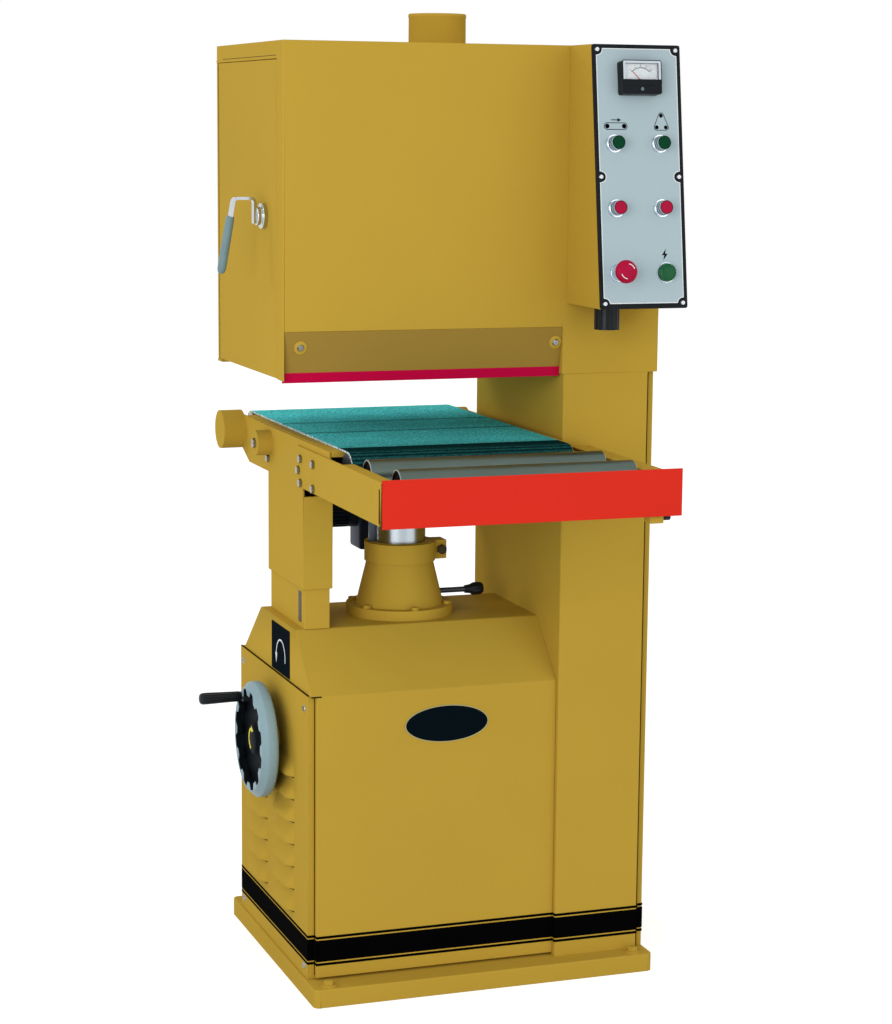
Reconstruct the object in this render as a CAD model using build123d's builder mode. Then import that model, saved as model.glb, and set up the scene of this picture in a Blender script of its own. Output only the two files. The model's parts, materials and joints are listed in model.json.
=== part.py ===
from build123d import *
import os
from math import atan2, cos, hypot, radians, sin, tan

# Open-end belt sander. Origin: middle of the base on the floor.
# X to the right, Y to the back, Z up, millimetres.

# Clearances
run_clear = 0.05
slide_clear = 0.3
belt_clear = 0.3
guide_clear = 1.0
bolt_clear = 0.2

# Base and cabinet
base_w = 646.0
base_d = 564.0
base_h = 33.0
base_t = 4.0
base_lip = 40.0
base_corner_r = 12.0
base_bolt_inset_x = 32.0
base_bolt_inset_y = 20.0
sheet = 3.0
cab_left_gap = 8.0
cab_front_gap = 62.0
cab_d = 448.0
cab_h = 514.0
cab_lip = 25.0
hood_h = 100.0
hood_proud = 12.0
hood_left_inset = 10.0
hood_front_run = 100.0
hood_rear_run = 120.0
hood_rear_inset = 15.0
hood_foot_gap = 5.0
panel_t = 3.0
louvre_rows = 7
louvre_pitch = 43.7
louvre_first_z = 116.0
louvre_len = 124.0
louvre_h = 25.0
louvre_out = 8.0
louvre_wall = 1.5
louvre_bend_out = 6.4
louvre_bend_h = 11.25
louvre_corner_r = 5.6
louvre_col_gap = 178.0
louvre_mid_y = 15.0

# Column and head
col_w = 163.0
col_d = 438.0
col_h = 1067.0
col_front_gap = 40.0
col_right_gap = 1.0
col_cover_t = 15.0
col_cover_inset = 10.0
head_w = 512.0
head_h = 568.0
head_proud = 3.0
head_lip = 20.0
pulley_lip = 12.0
guard_h = 83.0
guard_drop = 5.0
guard_slant = 16.0
door_strip = 38.0
door_rear_strip = 6.0
door_top_strip = 30.0
door_gap = 1.0
door_t = 20.0
door_pin_r = 4.0
door_lug_t = 5.0
port_r = 51.0
port_wall = 2.5
port_h = 57.0
port_flange_r = 64.0
port_x = -20.0

# Sanding drum, rollers and belts
work_low_z = 1090.0
drum_r = 65.0
drum_rubber = 9.0
drum_len = 394.0
drum_wall = 8.0
drum_ahead = 100.0
drum_shaft_r = 17.5
shaft_hole_r = 26.0
idle_r = 35.0
idle_behind = 100.0
idle_rise = 6.0
track_r = 40.0
track_z = 1598.0
axle_r = 12.0
axle_end = 5.0
tension_travel = 12.0
belt_edge = 6.5
abrasive_t = 1.2
plate_t = 12.0
plate_margin = 35.0
rail_w = 40.0
rail_t = 8.0
yoke_w = 80.0
yoke_h = 80.0
yoke_t = 15.7
end_gap = 1.0
shelf_t = 10.0
shelf_w = 140.0
block_t = 30.0
block_gap = 15.0
block_r = 36.0
block_foot = 14.0
block_rise = 40.5
drum_pulley_r = 55.0
motor_pulley_r = 65.0
pulley_w = 30.0
groove_w = 11.0
groove_d = 9.0
vbelt_w = 10.0
vbelt_pitch = 15.0
pulley_gap = 10.0

# Main motor
motor_r = 95.0
motor_len = 280.0
motor_y = 0.0
motor_z = 205.0
motor_shaft_r = 14.0
motor_hole_r = 28.0
motor_fan_len = 50.0
motor_bell_r = 78.0
motor_bell_len = 20.0
motor_wall_gap = 34.0
motor_foot_w = 170.0
motor_foot_len = 200.0
motor_box = 90.0
motor_box_h = 40.0

# Lift
lift_x = -84.0
lift_y = -22.0
lift_r = 47.0
lift_wall = 11.0
lift_low_z = 560.0
nut_h = 40.0
flange_r = 98.0
flange_t = 18.0
cone_r = 80.0
cone_top_r = 61.0
cone_h = 79.0
collar_r = 65.0
collar_h = 35.0
ear_out = 20.0
ear_w = 34.0
ear_slit = 3.0
clamp_bolt_r = 5.0
pedestal_bolts_n = 6
pedestal_bolt_r = 89.0
key_w = 16.0
key_out = 10.0
key_low_z = 700.0
key_angle = 168.0
key_hole_r = 3.0
key_hole_z = 815.0
lever_z = 681.0
lever_r = 5.0
lever_len = 115.0
knob_r = 12.0
knob_len = 35.0
screw_r = 12.5
screw_top_z = 740.0
wheel_shaft_r = 12.5
wheel_z = 426.0
bracket_leg_gap = 75.0
bracket_t = 10.0
bracket_w = 120.0
bracket_drop = 55.0
bracket_foot_t = 14.0
gear_r = 40.0
pinion_r = 20.0
gear_face = 13.4
gear_back = 10.0
gear_gap = 0.5
wheel_r = 105.0
wheel_rim_w = 30.0
wheel_rim_t = 16.0
wheel_web_t = 8.0
wheel_hub_r = 24.0
wheel_hub_len = 36.0
wheel_gap = 24.0
wheel_scallops = 12
scallop_r = 9.0
scallop_depth = 9.0
bush_r = 21.0
bush_out = 8.0
crank_radius = 84.0
crank_angle = 57.0
crank_stud_r = 5.0
crank_r = 11.0
crank_len = 78.0
crank_edge_r = 3.0

# Guide post and table
post_w = 47.0
post_d = 217.0
post_wall = 4.0
post_h = 213.0
post_ahead = 4.5
sleeve_wall = 3.0
sleeve_drop = 181.0
sleeve_notch = 15.0
conv_belt_w = 400.0
conv_belt_t = 3.0
conv_top_z = 990.0
conv_roller_r = 30.0
conv_front_y = -336.0
conv_rear_y = 276.0
side_gap = 15.0
table_gap = 9.0
side_t = 4.0
side_front_y = -298.0
side_top_drop = 5.0
side_low_z = 900.0
side_end_r = 28.0
tongue_top_drop = 20.0
tongue_h = 55.0
tongue_over = 22.0
saddle_t = 4.0
saddle_y0 = -200.0
saddle_y1 = 205.0
bed_t = 10.5
bed_gap = 36.0
bed_clear = 0.5
conv_axle_r = 8.0
cap_r = 36.0
cap_len = 42.0
cap_wall = 6.0
right_cap_len = 16.0
tie_r = 23.0
tie_len = 28.0
tie_y = 75.0
tie_z = 955.0

# Infeed extension
infeed_front_y = -582.0
rail_rear_y = -118.0
rail_low_z = 902.0
rail_h = 72.0
rail_sheet = 4.0
left_flange = 20.0
right_rail_out = 54.0
right_flange = 36.0
spacer_y0 = -298.0
spacer_d = 43.0
spacer_margin = 6.0
spacer_bolt_gap = 21.25
infeed_r = 24.0
infeed_axle_r = 5.0
infeed_left_gap = 24.0
infeed_over = 17.0
infeed_y1 = -430.0
infeed_y2 = -552.0
infeed_top_drop = 1.5
front_bar_t = 3.0
front_bar_h = 79.0
front_bar_low = 5.0
front_bar_over = 29.0
stop_knob_r = 6.0
stop_knob_len = 28.0
stop_pin_len = 12.0
stop_block = 24.0
stop_block_h = 18.0

# Feed drive
feed_r = 28.0
feed_x = -73.0
feed_z = 800.0
feed_len = 110.0
feed_box_y0 = 160.0
feed_box_w = 60.0
feed_box_d = 65.0
feed_box_low = 69.0
feed_shaft_r = 9.0
roller_sprocket_r = 24.0
feed_sprocket_r = 20.0
sprocket_w = 5.0
chain_t = 6.0
chain_w = 6.0

# Control box
box_w = 162.5
box_left_gap = 3.0
box_low_z = 1224.0
box_top_out = 90.0
box_low_out = 148.0
box_sheet = 2.0
box_lip = 18.0
face_t = 3.0
face_corner_r = 4.0
button_u = 42.3
button_mid_u = -4.5
lamp_u = 42.3
start_v = 56.0
stop_v = -53.5
estop_v = -163.0
button_r = 11.0
button_out = 7.0
button_travel = 4.0
collar_out_r = 15.0
button_collar_h = 16.0
barrel_r = 13.5
barrel_len = 34.0
button_deep = 18.0
mushroom_r = 20.0
mushroom_h = 14.0
estop_rise = 14.5
estop_stem_r = 9.0
lamp_r = 16.0
lamp_h = 9.0
lamp_collar_r = 18.0
lamp_collar_h = 5.0
meter_w = 72.0
meter_h = 57.0
meter_v = 166.0
meter_out = 22.0
meter_back_r = 24.0
meter_back_len = 28.0
window_w = 62.0
window_h = 33.0
window_up = 7.0
window_deep = 6.0
glass_t = 1.2
needle_len = 22.0
needle_w = 1.4
needle_t = 0.6
needle_pin_r = 1.5
needle_pin_deep = 2.5
needle_lift = 1.5
needle_drop = 13.0
needle_angle = 135.0
gland_r = 22.0
gland_len = 41.4
gland_thread_r = 17.0
gland_thread_len = 14.0
gland_bore_r = 8.0
gland_out = 62.3
gland_u = 50.5
gland_ribs = 16
gland_rib = 2.0

# Fasteners
bolt_af = 16.0
bolt_head = 7.0
bolt_r = 5.0
bolt_len = 12.0
washer_r = 12.0
washer_t = 2.5
small_af = 13.0
small_head = 5.5
small_r = 4.0
screw_head_r = 5.0
screw_head_h = 2.5
screw_shank_r = 2.0
screw_inset = 9.0
cover_screw_inset = 20.0
guard_screw_inset = 32.0
guard_screw_drop = 27.0
guard_washer_r = 11.0
guard_washer_t = 1.5
rail_bolt_y = -180.0
rail_bolt_z = 932.0
rail_bolt_dy = 76.0
rail_bolt_dz = 42.5
end_bolt_y = -129.0
low_bolt_y = 83.0
low_bolt_z = 925.0

# Latch on the side door
latch_y = -129.0
latch_z = 1374.0
latch_disc_r = 22.0
latch_disc_t = 8.0
latch_hub_r = 16.0
latch_hub_t = 8.0
latch_edge_r = 1.5
latch_shaft_r = 6.0
latch_strap_t = 5.0
latch_strap_w = 15.0
latch_up = 30.0
latch_reach = 42.0
latch_grip_r = 7.5
latch_grip_len = 100.0
latch_splay = 10.0
latch_tongue_len = 60.0
latch_tongue_t = 4.0
latch_tongue_w = 16.0

# Positions that follow from the sizes above
low = (Align.CENTER, Align.CENTER, Align.MIN)
corner = (Align.MIN, Align.MIN, Align.MIN)
base_x0 = -base_w / 2
base_y0 = -base_d / 2
cab_x0 = base_x0 + cab_left_gap
cab_y0 = base_y0 + cab_front_gap
cab_y1 = cab_y0 + cab_d
seam_z = base_h + cab_h
deck_z = seam_z + hood_h
col_x1 = base_w / 2 - col_right_gap - col_cover_t
col_x0 = col_x1 - col_w
col_y0 = base_y0 + col_front_gap
col_y1 = col_y0 + col_d
col_z1 = base_h + col_h
head_x0 = col_x0 - head_w
head_x1 = col_x1 + col_cover_t + head_proud
head_z1 = col_z1 + head_h
head_mid_y = (col_y0 + col_y1) / 2
hood_x0 = cab_x0 + hood_left_inset
hood_y0 = cab_y0 - hood_proud
hood_y1 = cab_y1 - hood_rear_inset
deck_y0 = hood_y0 + hood_front_run
deck_y1 = max(hood_y1 - hood_rear_run, lift_y + flange_r)
rear_run = hood_y1 - deck_y1
front_sheet = sheet * hypot(hood_h, hood_front_run) / hood_h
rear_sheet = sheet * hypot(hood_h, rear_run) / hood_h
panel_x0 = cab_x0 - panel_t
cab_return = max(cab_y1 - col_y1, 0.0) + sheet

drum_y = head_mid_y - drum_ahead
drum_z = work_low_z + abrasive_t + belt_clear + drum_r
idle_y = head_mid_y + idle_behind
idle_z = work_low_z + idle_rise + abrasive_t + belt_clear + idle_r
track_y = head_mid_y
wall_x0 = col_x0 - sheet
wall_x1 = col_x0 + sheet
plate_x0 = wall_x0 - plate_t
rail_x0 = plate_x0 - rail_t
yoke_x0 = plate_x0 - slide_clear - yoke_t
drum_x0 = yoke_x0 - drum_len
abrasive_x0 = drum_x0 + belt_edge
abrasive_w = drum_len - 2 * belt_edge
shelf_x1 = wall_x1 + 3 * block_gap + 2 * block_t
pulley_x0 = shelf_x1 + pulley_gap
pulley_x1 = pulley_x0 + pulley_w
pulley_mid_x = (pulley_x0 + pulley_x1) / 2
vbelt_xs = [pulley_mid_x - vbelt_pitch / 2, pulley_mid_x + vbelt_pitch / 2]

motor_x1 = col_x0 - motor_wall_gap
motor_x0 = motor_x1 - motor_bell_len - motor_len - motor_fan_len

conv_axis_z = conv_top_z - conv_belt_t - belt_clear - conv_roller_r
side_x1 = col_x0 - table_gap
belt_x0 = side_x1 - side_t - side_gap - conv_belt_w
side_x0 = belt_x0 - side_gap - side_t
side_top_z = conv_top_z - side_top_drop
sleeve_x0 = side_x0
sleeve_w = post_w + 2 * guide_clear + 2 * sleeve_wall
sleeve_d = post_d + 2 * guide_clear + 2 * sleeve_wall
post_x = sleeve_x0 + sleeve_w / 2
post_y = lift_y - post_ahead
bed_y0 = conv_front_y + bed_gap
bed_y1 = conv_rear_y - bed_gap
sprocket_x = belt_x0 + conv_belt_w + side_gap / 2
feed_out_y = feed_box_y0 + feed_box_d / 2
rail_top_z = rail_low_z + rail_h
rail_x_left = side_x0 - rail_sheet
rail_x_right = side_x1 + right_rail_out
stop_spot = (infeed_front_y + stop_knob_r + stop_block / 2, rail_low_z - stop_block_h / 2)
infeed_x0 = side_x0 + infeed_left_gap
infeed_len = conv_belt_w + infeed_over
infeed_z = conv_top_z - infeed_top_drop - infeed_r
spacer_bolts = [(spacer_y0 + spacer_d / 2, rail_bolt_z + way * spacer_bolt_gap / 2) for way in (-1, 1)]
flange_rear_y = conv_front_y - conv_roller_r - conv_belt_t - side_gap / 2

wheel_x1 = panel_x0 - wheel_gap
wheel_x0 = wheel_x1 - wheel_rim_w
crank_y = lift_y + crank_radius * cos(radians(crank_angle))
crank_z = wheel_z + crank_radius * sin(radians(crank_angle))
collar_low_z = deck_z + flange_t + cone_h
collar_z1 = collar_low_z + collar_h
bracket_z1 = deck_z - sheet
bracket_z0 = wheel_z - bracket_drop
lever_x1 = lift_x + lift_r + slide_clear + lever_len

box_x0 = col_x0 + box_left_gap
face_tilt = atan2(box_low_out - box_top_out, head_z1 - box_low_z)
face_h = hypot(box_low_out - box_top_out, head_z1 - box_low_z)
face_plane = Plane(
    origin=(
        box_x0 + box_w / 2,
        col_y0 - (box_low_out + box_top_out) / 2,
        (head_z1 + box_low_z) / 2,
    ),
    x_dir=(1, 0, 0),
    z_dir=(0, -cos(face_tilt), sin(face_tilt)),
)
panel_face = face_plane.offset(face_t)
face_screw_u = box_w / 2 - screw_inset
face_screw_v = face_h / 2 - screw_inset
face_screws = [(u, v) for u in (-face_screw_u, face_screw_u) for v in (-face_screw_v, 0, face_screw_v)]
button_us = [button_mid_u - button_u, button_mid_u + button_u]
start_spots = [(u, start_v) for u in button_us]
stop_spots = [(u, stop_v) for u in button_us]
estop_spot = (button_us[0], estop_v)
lamp_spot = (lamp_u, estop_v)
window_mid_v = meter_v + window_up
pivot_v = window_mid_v - needle_drop
window_floor = meter_out - window_deep

guard_z1 = col_z1 + guard_h
guard_z0 = col_z1 - guard_drop
guard_tilt = atan2(guard_slant, guard_z1 - guard_z0)
guard_screw_z = guard_z1 - guard_screw_drop
guard_screw_y = col_y0 + guard_slant * guard_screw_drop / (guard_z1 - guard_z0)
guard_screw_xs = [head_x0 + guard_screw_inset, wall_x0 - guard_screw_inset / 2]
front_strip_x0 = head_x0 + sheet
rear_strip_x0 = head_x0 + door_t + door_gap
front_guard_plane = Plane(
    origin=(0, guard_screw_y, guard_screw_z),
    x_dir=(1, 0, 0),
    z_dir=(0, -cos(guard_tilt), -sin(guard_tilt)),
)
rear_guard_plane = Plane(
    origin=(0, 2 * head_mid_y - guard_screw_y, guard_screw_z),
    x_dir=(1, 0, 0),
    z_dir=(0, cos(guard_tilt), -sin(guard_tilt)),
)

cover_screw_dy = col_d - 2 * col_cover_inset - 2 * cover_screw_inset
cover_screw_dz = (col_h - 4 * cover_screw_inset) / 2

door_y0 = col_y0 + door_strip
door_y1 = col_y1 - door_rear_strip
door_z0 = col_z1 + door_gap
door_z1 = head_z1 - door_top_strip - door_gap
hinge_x = head_x0 + door_t / 2
hinge_y = door_y1 - door_gap - door_t / 2

os.makedirs("parts", exist_ok=True)

# Base frame: folded tray with a skirt, closed on top, floor flange inside
with BuildPart() as base_frame:
    with BuildSketch():
        RectangleRounded(base_w, base_d, base_corner_r)
    extrude(amount=base_h)
    with BuildSketch(Plane.XY.offset(base_t)):
        Rectangle(base_w - 2 * base_t, base_d - 2 * base_t)
    extrude(amount=base_h - 2 * base_t, mode=Mode.SUBTRACT)
    with BuildSketch():
        Rectangle(base_w - 2 * base_lip, base_d - 2 * base_lip)
    extrude(amount=base_t, mode=Mode.SUBTRACT)
    with BuildSketch(Plane.XY.offset(base_h - base_t)):
        with GridLocations(base_w - 2 * base_bolt_inset_x, base_d - 2 * base_bolt_inset_y, 2, 2):
            Circle(bolt_r + bolt_clear)
    extrude(amount=base_t, mode=Mode.SUBTRACT)
    fillet(base_frame.faces().sort_by(Axis.Z)[-1].outer_wire().edges(), base_t / 2)
base_frame.part.label = "base_frame"
export_step(base_frame.part, "parts/base_frame.step")

# Cabinet shell: three walls with windows behind the side panel and the hood, and a return beside the column
with BuildPart() as cabinet_shell:
    with Locations((cab_x0, cab_y0, base_h)):
        Box(col_x0 - cab_x0, cab_d, cab_h, align=corner)
    with Locations((cab_x0 + sheet, cab_y0 + sheet, base_h)):
        Box(col_x0 - cab_x0, cab_d - 2 * sheet, cab_h - sheet, align=corner, mode=Mode.SUBTRACT)
    with Locations((cab_x0 + cab_lip, cab_y0 + cab_lip, seam_z - sheet)):
        Box(col_x0 - cab_x0, cab_d - 2 * cab_lip, sheet, align=corner, mode=Mode.SUBTRACT)
    with Locations((col_x0 - sheet, cab_y1 - cab_return, base_h)):
        Box(sheet, cab_return, cab_h, align=corner)
    with Locations((hood_x0 + cab_lip, cab_y0, base_h + cab_lip)):
        Box(col_x0 - hood_x0 - 2 * cab_lip, sheet, cab_h - 2 * cab_lip, align=corner, mode=Mode.SUBTRACT)
    with Locations((cab_x0, cab_y0 + 2 * cab_lip, base_h + cab_lip)):
        Box(sheet, cab_d - 4 * cab_lip, cab_h - 2 * cab_lip, align=corner, mode=Mode.SUBTRACT)
    with BuildSketch(Plane.YZ.offset(cab_x0)):
        with Locations(((cab_y0 + cab_y1) / 2, (base_h + seam_z) / 2)):
            with GridLocations(cab_d - 2 * cover_screw_inset, cab_h - 2 * cover_screw_inset, 2, 2):
                Circle(screw_shank_r + bolt_clear)
    extrude(amount=sheet, mode=Mode.SUBTRACT)
cabinet_shell.part.label = "cabinet_shell"
export_step(cabinet_shell.part, "parts/cabinet_shell.step")

# Hood: sloped deck with the proud front cover below it, bent from one sheet
with BuildPart() as cabinet_hood:
    with BuildSketch(Plane.YZ.offset(cab_x0)):
        with BuildLine():
            Polyline(
                (hood_y0, seam_z),
                (hood_y1, seam_z),
                (deck_y1, deck_z),
                (deck_y0, deck_z),
                close=True,
            )
        make_face()
    extrude(amount=col_x0 - cab_x0)
    fillet(cabinet_hood.edges().filter_by(Axis.X).group_by(Axis.Z)[-1], 2 * sheet)
    with BuildSketch(Plane.YZ.offset(cab_x0 + sheet)):
        with BuildLine():
            Polyline(
                (hood_y0 + front_sheet, seam_z),
                (hood_y1 - rear_sheet, seam_z),
                (deck_y1 - rear_sheet + rear_run * sheet / hood_h, deck_z - sheet),
                (deck_y0 + front_sheet - hood_front_run * sheet / hood_h, deck_z - sheet),
                close=True,
            )
        make_face()
    extrude(amount=col_x0 - cab_x0 - 2 * sheet, mode=Mode.SUBTRACT)
    with Locations((hood_x0, hood_y0, base_h + hood_foot_gap)):
        Box(col_x0 - hood_x0, hood_proud, cab_h - hood_foot_gap, align=corner)
    with Locations((hood_x0 + sheet, hood_y0 + sheet, base_h + hood_foot_gap + sheet)):
        Box(
            col_x0 - hood_x0 - 2 * sheet,
            hood_proud - sheet,
            cab_h - hood_foot_gap - 2 * sheet,
            align=corner,
            mode=Mode.SUBTRACT,
        )
    skirt_edges = cabinet_hood.edges().filter_by(Axis.Z).group_by(Axis.Y)[0]
    fillet(skirt_edges.sort_by(Axis.X)[0], sheet)
    with BuildSketch(Plane.XY.offset(deck_z - sheet)):
        with Locations((lift_x, lift_y)):
            Circle(lift_r + key_out + guide_clear)
            with PolarLocations(pedestal_bolt_r, pedestal_bolts_n, start_angle=180 / pedestal_bolts_n):
                Circle(small_r + bolt_clear)
    extrude(amount=sheet, mode=Mode.SUBTRACT)
cabinet_hood.part.label = "cabinet_hood"
export_step(cabinet_hood.part, "parts/cabinet_hood.step")

# Louvred side panel with the bush that carries the handwheel shaft
with BuildPart() as louvre_panel:
    with Locations((panel_x0, cab_y0, base_h)):
        Box(panel_t, cab_d, cab_h - door_gap, align=corner)
    with BuildSketch(Plane.YZ.offset(panel_x0 - bush_out)):
        with Locations((lift_y, wheel_z)):
            Circle(bush_r)
    extrude(amount=bush_out + 3 * panel_t)
    for side in (-1, 1):
        for row in range(louvre_rows):
            low_z = louvre_first_z + row * louvre_pitch
            mid_y = louvre_mid_y + side * louvre_col_gap / 2
            with BuildSketch(Plane.XZ.offset(-mid_y)):
                with BuildLine():
                    Polyline(
                        (panel_x0, low_z),
                        (panel_x0 - louvre_out, low_z),
                        (panel_x0 - louvre_bend_out, low_z + louvre_bend_h),
                        (panel_x0, low_z + louvre_h),
                        close=True,
                    )
                make_face()
            extrude(amount=louvre_len / 2, both=True)
    ends = louvre_panel.faces().filter_by(Axis.Y).filter_by(
        lambda f: f.center().X < panel_x0 and f.area < louvre_out * louvre_h
    )
    fillet([e for f in ends for e in f.edges() if e.center().X < panel_x0 - louvre_wall], louvre_corner_r)
    for side in (-1, 1):
        for row in range(louvre_rows):
            low_z = louvre_first_z + row * louvre_pitch
            mid_y = louvre_mid_y + side * louvre_col_gap / 2
            with BuildSketch(Plane.XZ.offset(-mid_y)):
                with BuildLine():
                    Polyline(
                        (panel_x0 + panel_t, low_z),
                        (panel_x0 - louvre_out + louvre_wall, low_z),
                        (panel_x0 - louvre_bend_out + louvre_wall, low_z + louvre_bend_h - louvre_wall),
                        (panel_x0 + panel_t, low_z + louvre_h - 2 * louvre_wall),
                        close=True,
                    )
                make_face()
            extrude(amount=louvre_len / 2 - louvre_out, both=True, mode=Mode.SUBTRACT)
    with BuildSketch(Plane.YZ.offset(panel_x0 - bush_out)):
        with Locations((lift_y, wheel_z)):
            Circle(wheel_shaft_r + run_clear)
    extrude(amount=bush_out + 3 * panel_t, mode=Mode.SUBTRACT)
    with BuildSketch(Plane.YZ.offset(panel_x0)):
        with Locations(((cab_y0 + cab_y1) / 2, (base_h + seam_z) / 2)):
            with GridLocations(cab_d - 2 * cover_screw_inset, cab_h - 2 * cover_screw_inset, 2, 2):
                Circle(screw_shank_r + bolt_clear)
    extrude(amount=panel_t, mode=Mode.SUBTRACT)
louvre_panel.part.label = "louvre_panel"
export_step(louvre_panel.part, "parts/louvre_panel.step")

# Column: folded box, open on the right behind its cover
with BuildPart() as column_shell:
    with Locations((col_x0, col_y0, base_h)):
        Box(col_w, col_d, col_h, align=corner)
    fillet(column_shell.edges().filter_by(Axis.Z).group_by(Axis.Y)[0], sheet)
    with Locations((col_x0 + sheet, col_y0 + sheet, base_h)):
        Box(col_w - 2 * sheet, col_d - 2 * sheet, col_h, align=corner, mode=Mode.SUBTRACT)
    with Locations((col_x1 - sheet, col_y0 + 2 * cab_lip, base_h + 2 * cab_lip)):
        Box(sheet, col_d - 4 * cab_lip, col_h - 4 * cab_lip, align=corner, mode=Mode.SUBTRACT)
    with BuildSketch(Plane.YZ.offset(col_x0)):
        with Locations((motor_y, motor_z)):
            Circle(motor_hole_r)
    extrude(amount=sheet, mode=Mode.SUBTRACT)
    with BuildSketch(Plane.YZ.offset(col_x1 - sheet)):
        with Locations((head_mid_y, base_h + col_h / 2)):
            with GridLocations(cover_screw_dy, cover_screw_dz, 2, 3):
                Circle(screw_shank_r + bolt_clear)
    extrude(amount=sheet, mode=Mode.SUBTRACT)
column_shell.part.label = "column_shell"
export_step(column_shell.part, "parts/column_shell.step")

# Column side cover: shallow pan screwed over the right side
with BuildPart() as column_side_cover:
    with Locations((col_x1, col_y0 + col_cover_inset, base_h)):
        Box(col_cover_t, col_d - 2 * col_cover_inset, col_h - door_gap, align=corner)
    fillet(column_side_cover.edges().filter_by(Axis.Z).group_by(Axis.X)[-1], sheet)
    with Locations((col_x1, col_y0 + col_cover_inset + sheet, base_h + sheet)):
        Box(
            col_cover_t - sheet,
            col_d - 2 * col_cover_inset - 2 * sheet,
            col_h - door_gap - 2 * sheet,
            align=corner,
            mode=Mode.SUBTRACT,
        )
    with BuildSketch(Plane.YZ.offset(col_x1 + col_cover_t - sheet)):
        with Locations((head_mid_y, base_h + col_h / 2)):
            with GridLocations(cover_screw_dy, cover_screw_dz, 2, 3):
                Circle(screw_shank_r + bolt_clear)
    extrude(amount=sheet, mode=Mode.SUBTRACT)
column_side_cover.part.label = "column_side_cover"
export_step(column_side_cover.part, "parts/column_side_cover.step")

# Head shell: sanding chamber on the left, pulley chamber over the column
with BuildPart() as head_shell:
    with Locations((head_x0, col_y0, col_z1)):
        Box(head_x1 - head_x0, col_d, head_h, align=corner)
    fillet(head_shell.edges().filter_by(Axis.Z), sheet)
    fillet(head_shell.edges().group_by(Axis.Z)[-1], sheet / 2)
    with Locations((head_x0 + sheet, col_y0 + sheet, col_z1)):
        Box(wall_x0 - head_x0 - sheet, col_d - 2 * sheet, head_h - sheet, align=corner, mode=Mode.SUBTRACT)
    with Locations((wall_x1, col_y0 + sheet, col_z1 + sheet)):
        Box(
            head_x1 - wall_x1 - sheet,
            col_d - 2 * sheet,
            head_h - 2 * sheet,
            align=corner,
            mode=Mode.SUBTRACT,
        )
    with Locations((wall_x1, col_y0 + head_lip, col_z1)):
        Box(col_x1 - wall_x1 - pulley_lip, col_d - 2 * head_lip, sheet, align=corner, mode=Mode.SUBTRACT)
    for strip_x0, wall_y in ((front_strip_x0, col_y0), (rear_strip_x0, col_y1 - sheet)):
        with Locations((strip_x0, wall_y, col_z1)):
            Box(wall_x0 - strip_x0, sheet, guard_h, align=corner, mode=Mode.SUBTRACT)
    with Locations((head_x0, door_y0 - door_gap, col_z1)):
        Box(
            sheet,
            door_y1 - door_y0 + 2 * door_gap,
            head_h - door_top_strip,
            align=corner,
            mode=Mode.SUBTRACT,
        )
    for lug_z in (col_z1 - door_lug_t, head_z1 - door_top_strip):
        with Locations((head_x0, hinge_y - door_t / 2, lug_z)):
            Box(door_t, col_y1 - hinge_y + door_t / 2, door_lug_t, align=corner)
    with BuildSketch(Plane.XY.offset(col_z1 - door_lug_t)):
        with Locations((hinge_x, hinge_y)):
            Circle(door_pin_r + run_clear)
    extrude(amount=door_lug_t, mode=Mode.SUBTRACT)
    with BuildSketch(Plane.XY.offset(head_z1 - door_top_strip)):
        with Locations((hinge_x, hinge_y)):
            Circle(door_pin_r + run_clear)
    extrude(amount=door_lug_t, mode=Mode.SUBTRACT)
    with BuildSketch(Plane.YZ.offset(wall_x0)):
        with Locations((drum_y, drum_z)):
            Circle(shaft_hole_r)
    extrude(amount=2 * sheet, mode=Mode.SUBTRACT)
    with BuildSketch(Plane.XY.offset(head_z1 - sheet)):
        with Locations((port_x, head_mid_y)):
            Circle(port_r - port_wall)
    extrude(amount=sheet, mode=Mode.SUBTRACT)
head_shell.part.label = "head_shell"
export_step(head_shell.part, "parts/head_shell.step")

# Guard strips below the front and rear walls, slanted inward
with BuildPart() as guard_strips:
    for strip_x0, wall_y, way in ((front_strip_x0, col_y0, -1), (rear_strip_x0, col_y1, 1)):
        with BuildSketch(Plane.YZ.offset(strip_x0)):
            with BuildLine():
                Polyline(
                    (wall_y, guard_z1),
                    (wall_y - way * guard_slant, guard_z0),
                    (wall_y - way * (guard_slant + sheet), guard_z0),
                    (wall_y - way * sheet, guard_z1),
                    close=True,
                )
            make_face()
        extrude(amount=wall_x0 - strip_x0)
    for guard_plane in (front_guard_plane, rear_guard_plane):
        with BuildSketch(guard_plane):
            with Locations(*[(x, 0) for x in guard_screw_xs]):
                Circle(screw_shank_r + bolt_clear)
        extrude(amount=sheet, both=True, mode=Mode.SUBTRACT)
guard_strips.part.label = "guard_strips"
export_step(guard_strips.part, "parts/guard_strips.step")

# Dust port on the head
with BuildPart() as dust_port:
    with BuildSketch(Plane.XY.offset(head_z1)):
        with Locations((port_x, head_mid_y)):
            Circle(port_flange_r)
    extrude(amount=sheet)
    with BuildSketch(Plane.XY.offset(head_z1)):
        with Locations((port_x, head_mid_y)):
            Circle(port_r)
    extrude(amount=port_h)
    with BuildSketch(Plane.XY.offset(head_z1)):
        with Locations((port_x, head_mid_y)):
            Circle(port_r - port_wall)
    extrude(amount=port_h, mode=Mode.SUBTRACT)
dust_port.part.label = "dust_port"
export_step(dust_port.part, "parts/dust_port.step")

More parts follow.
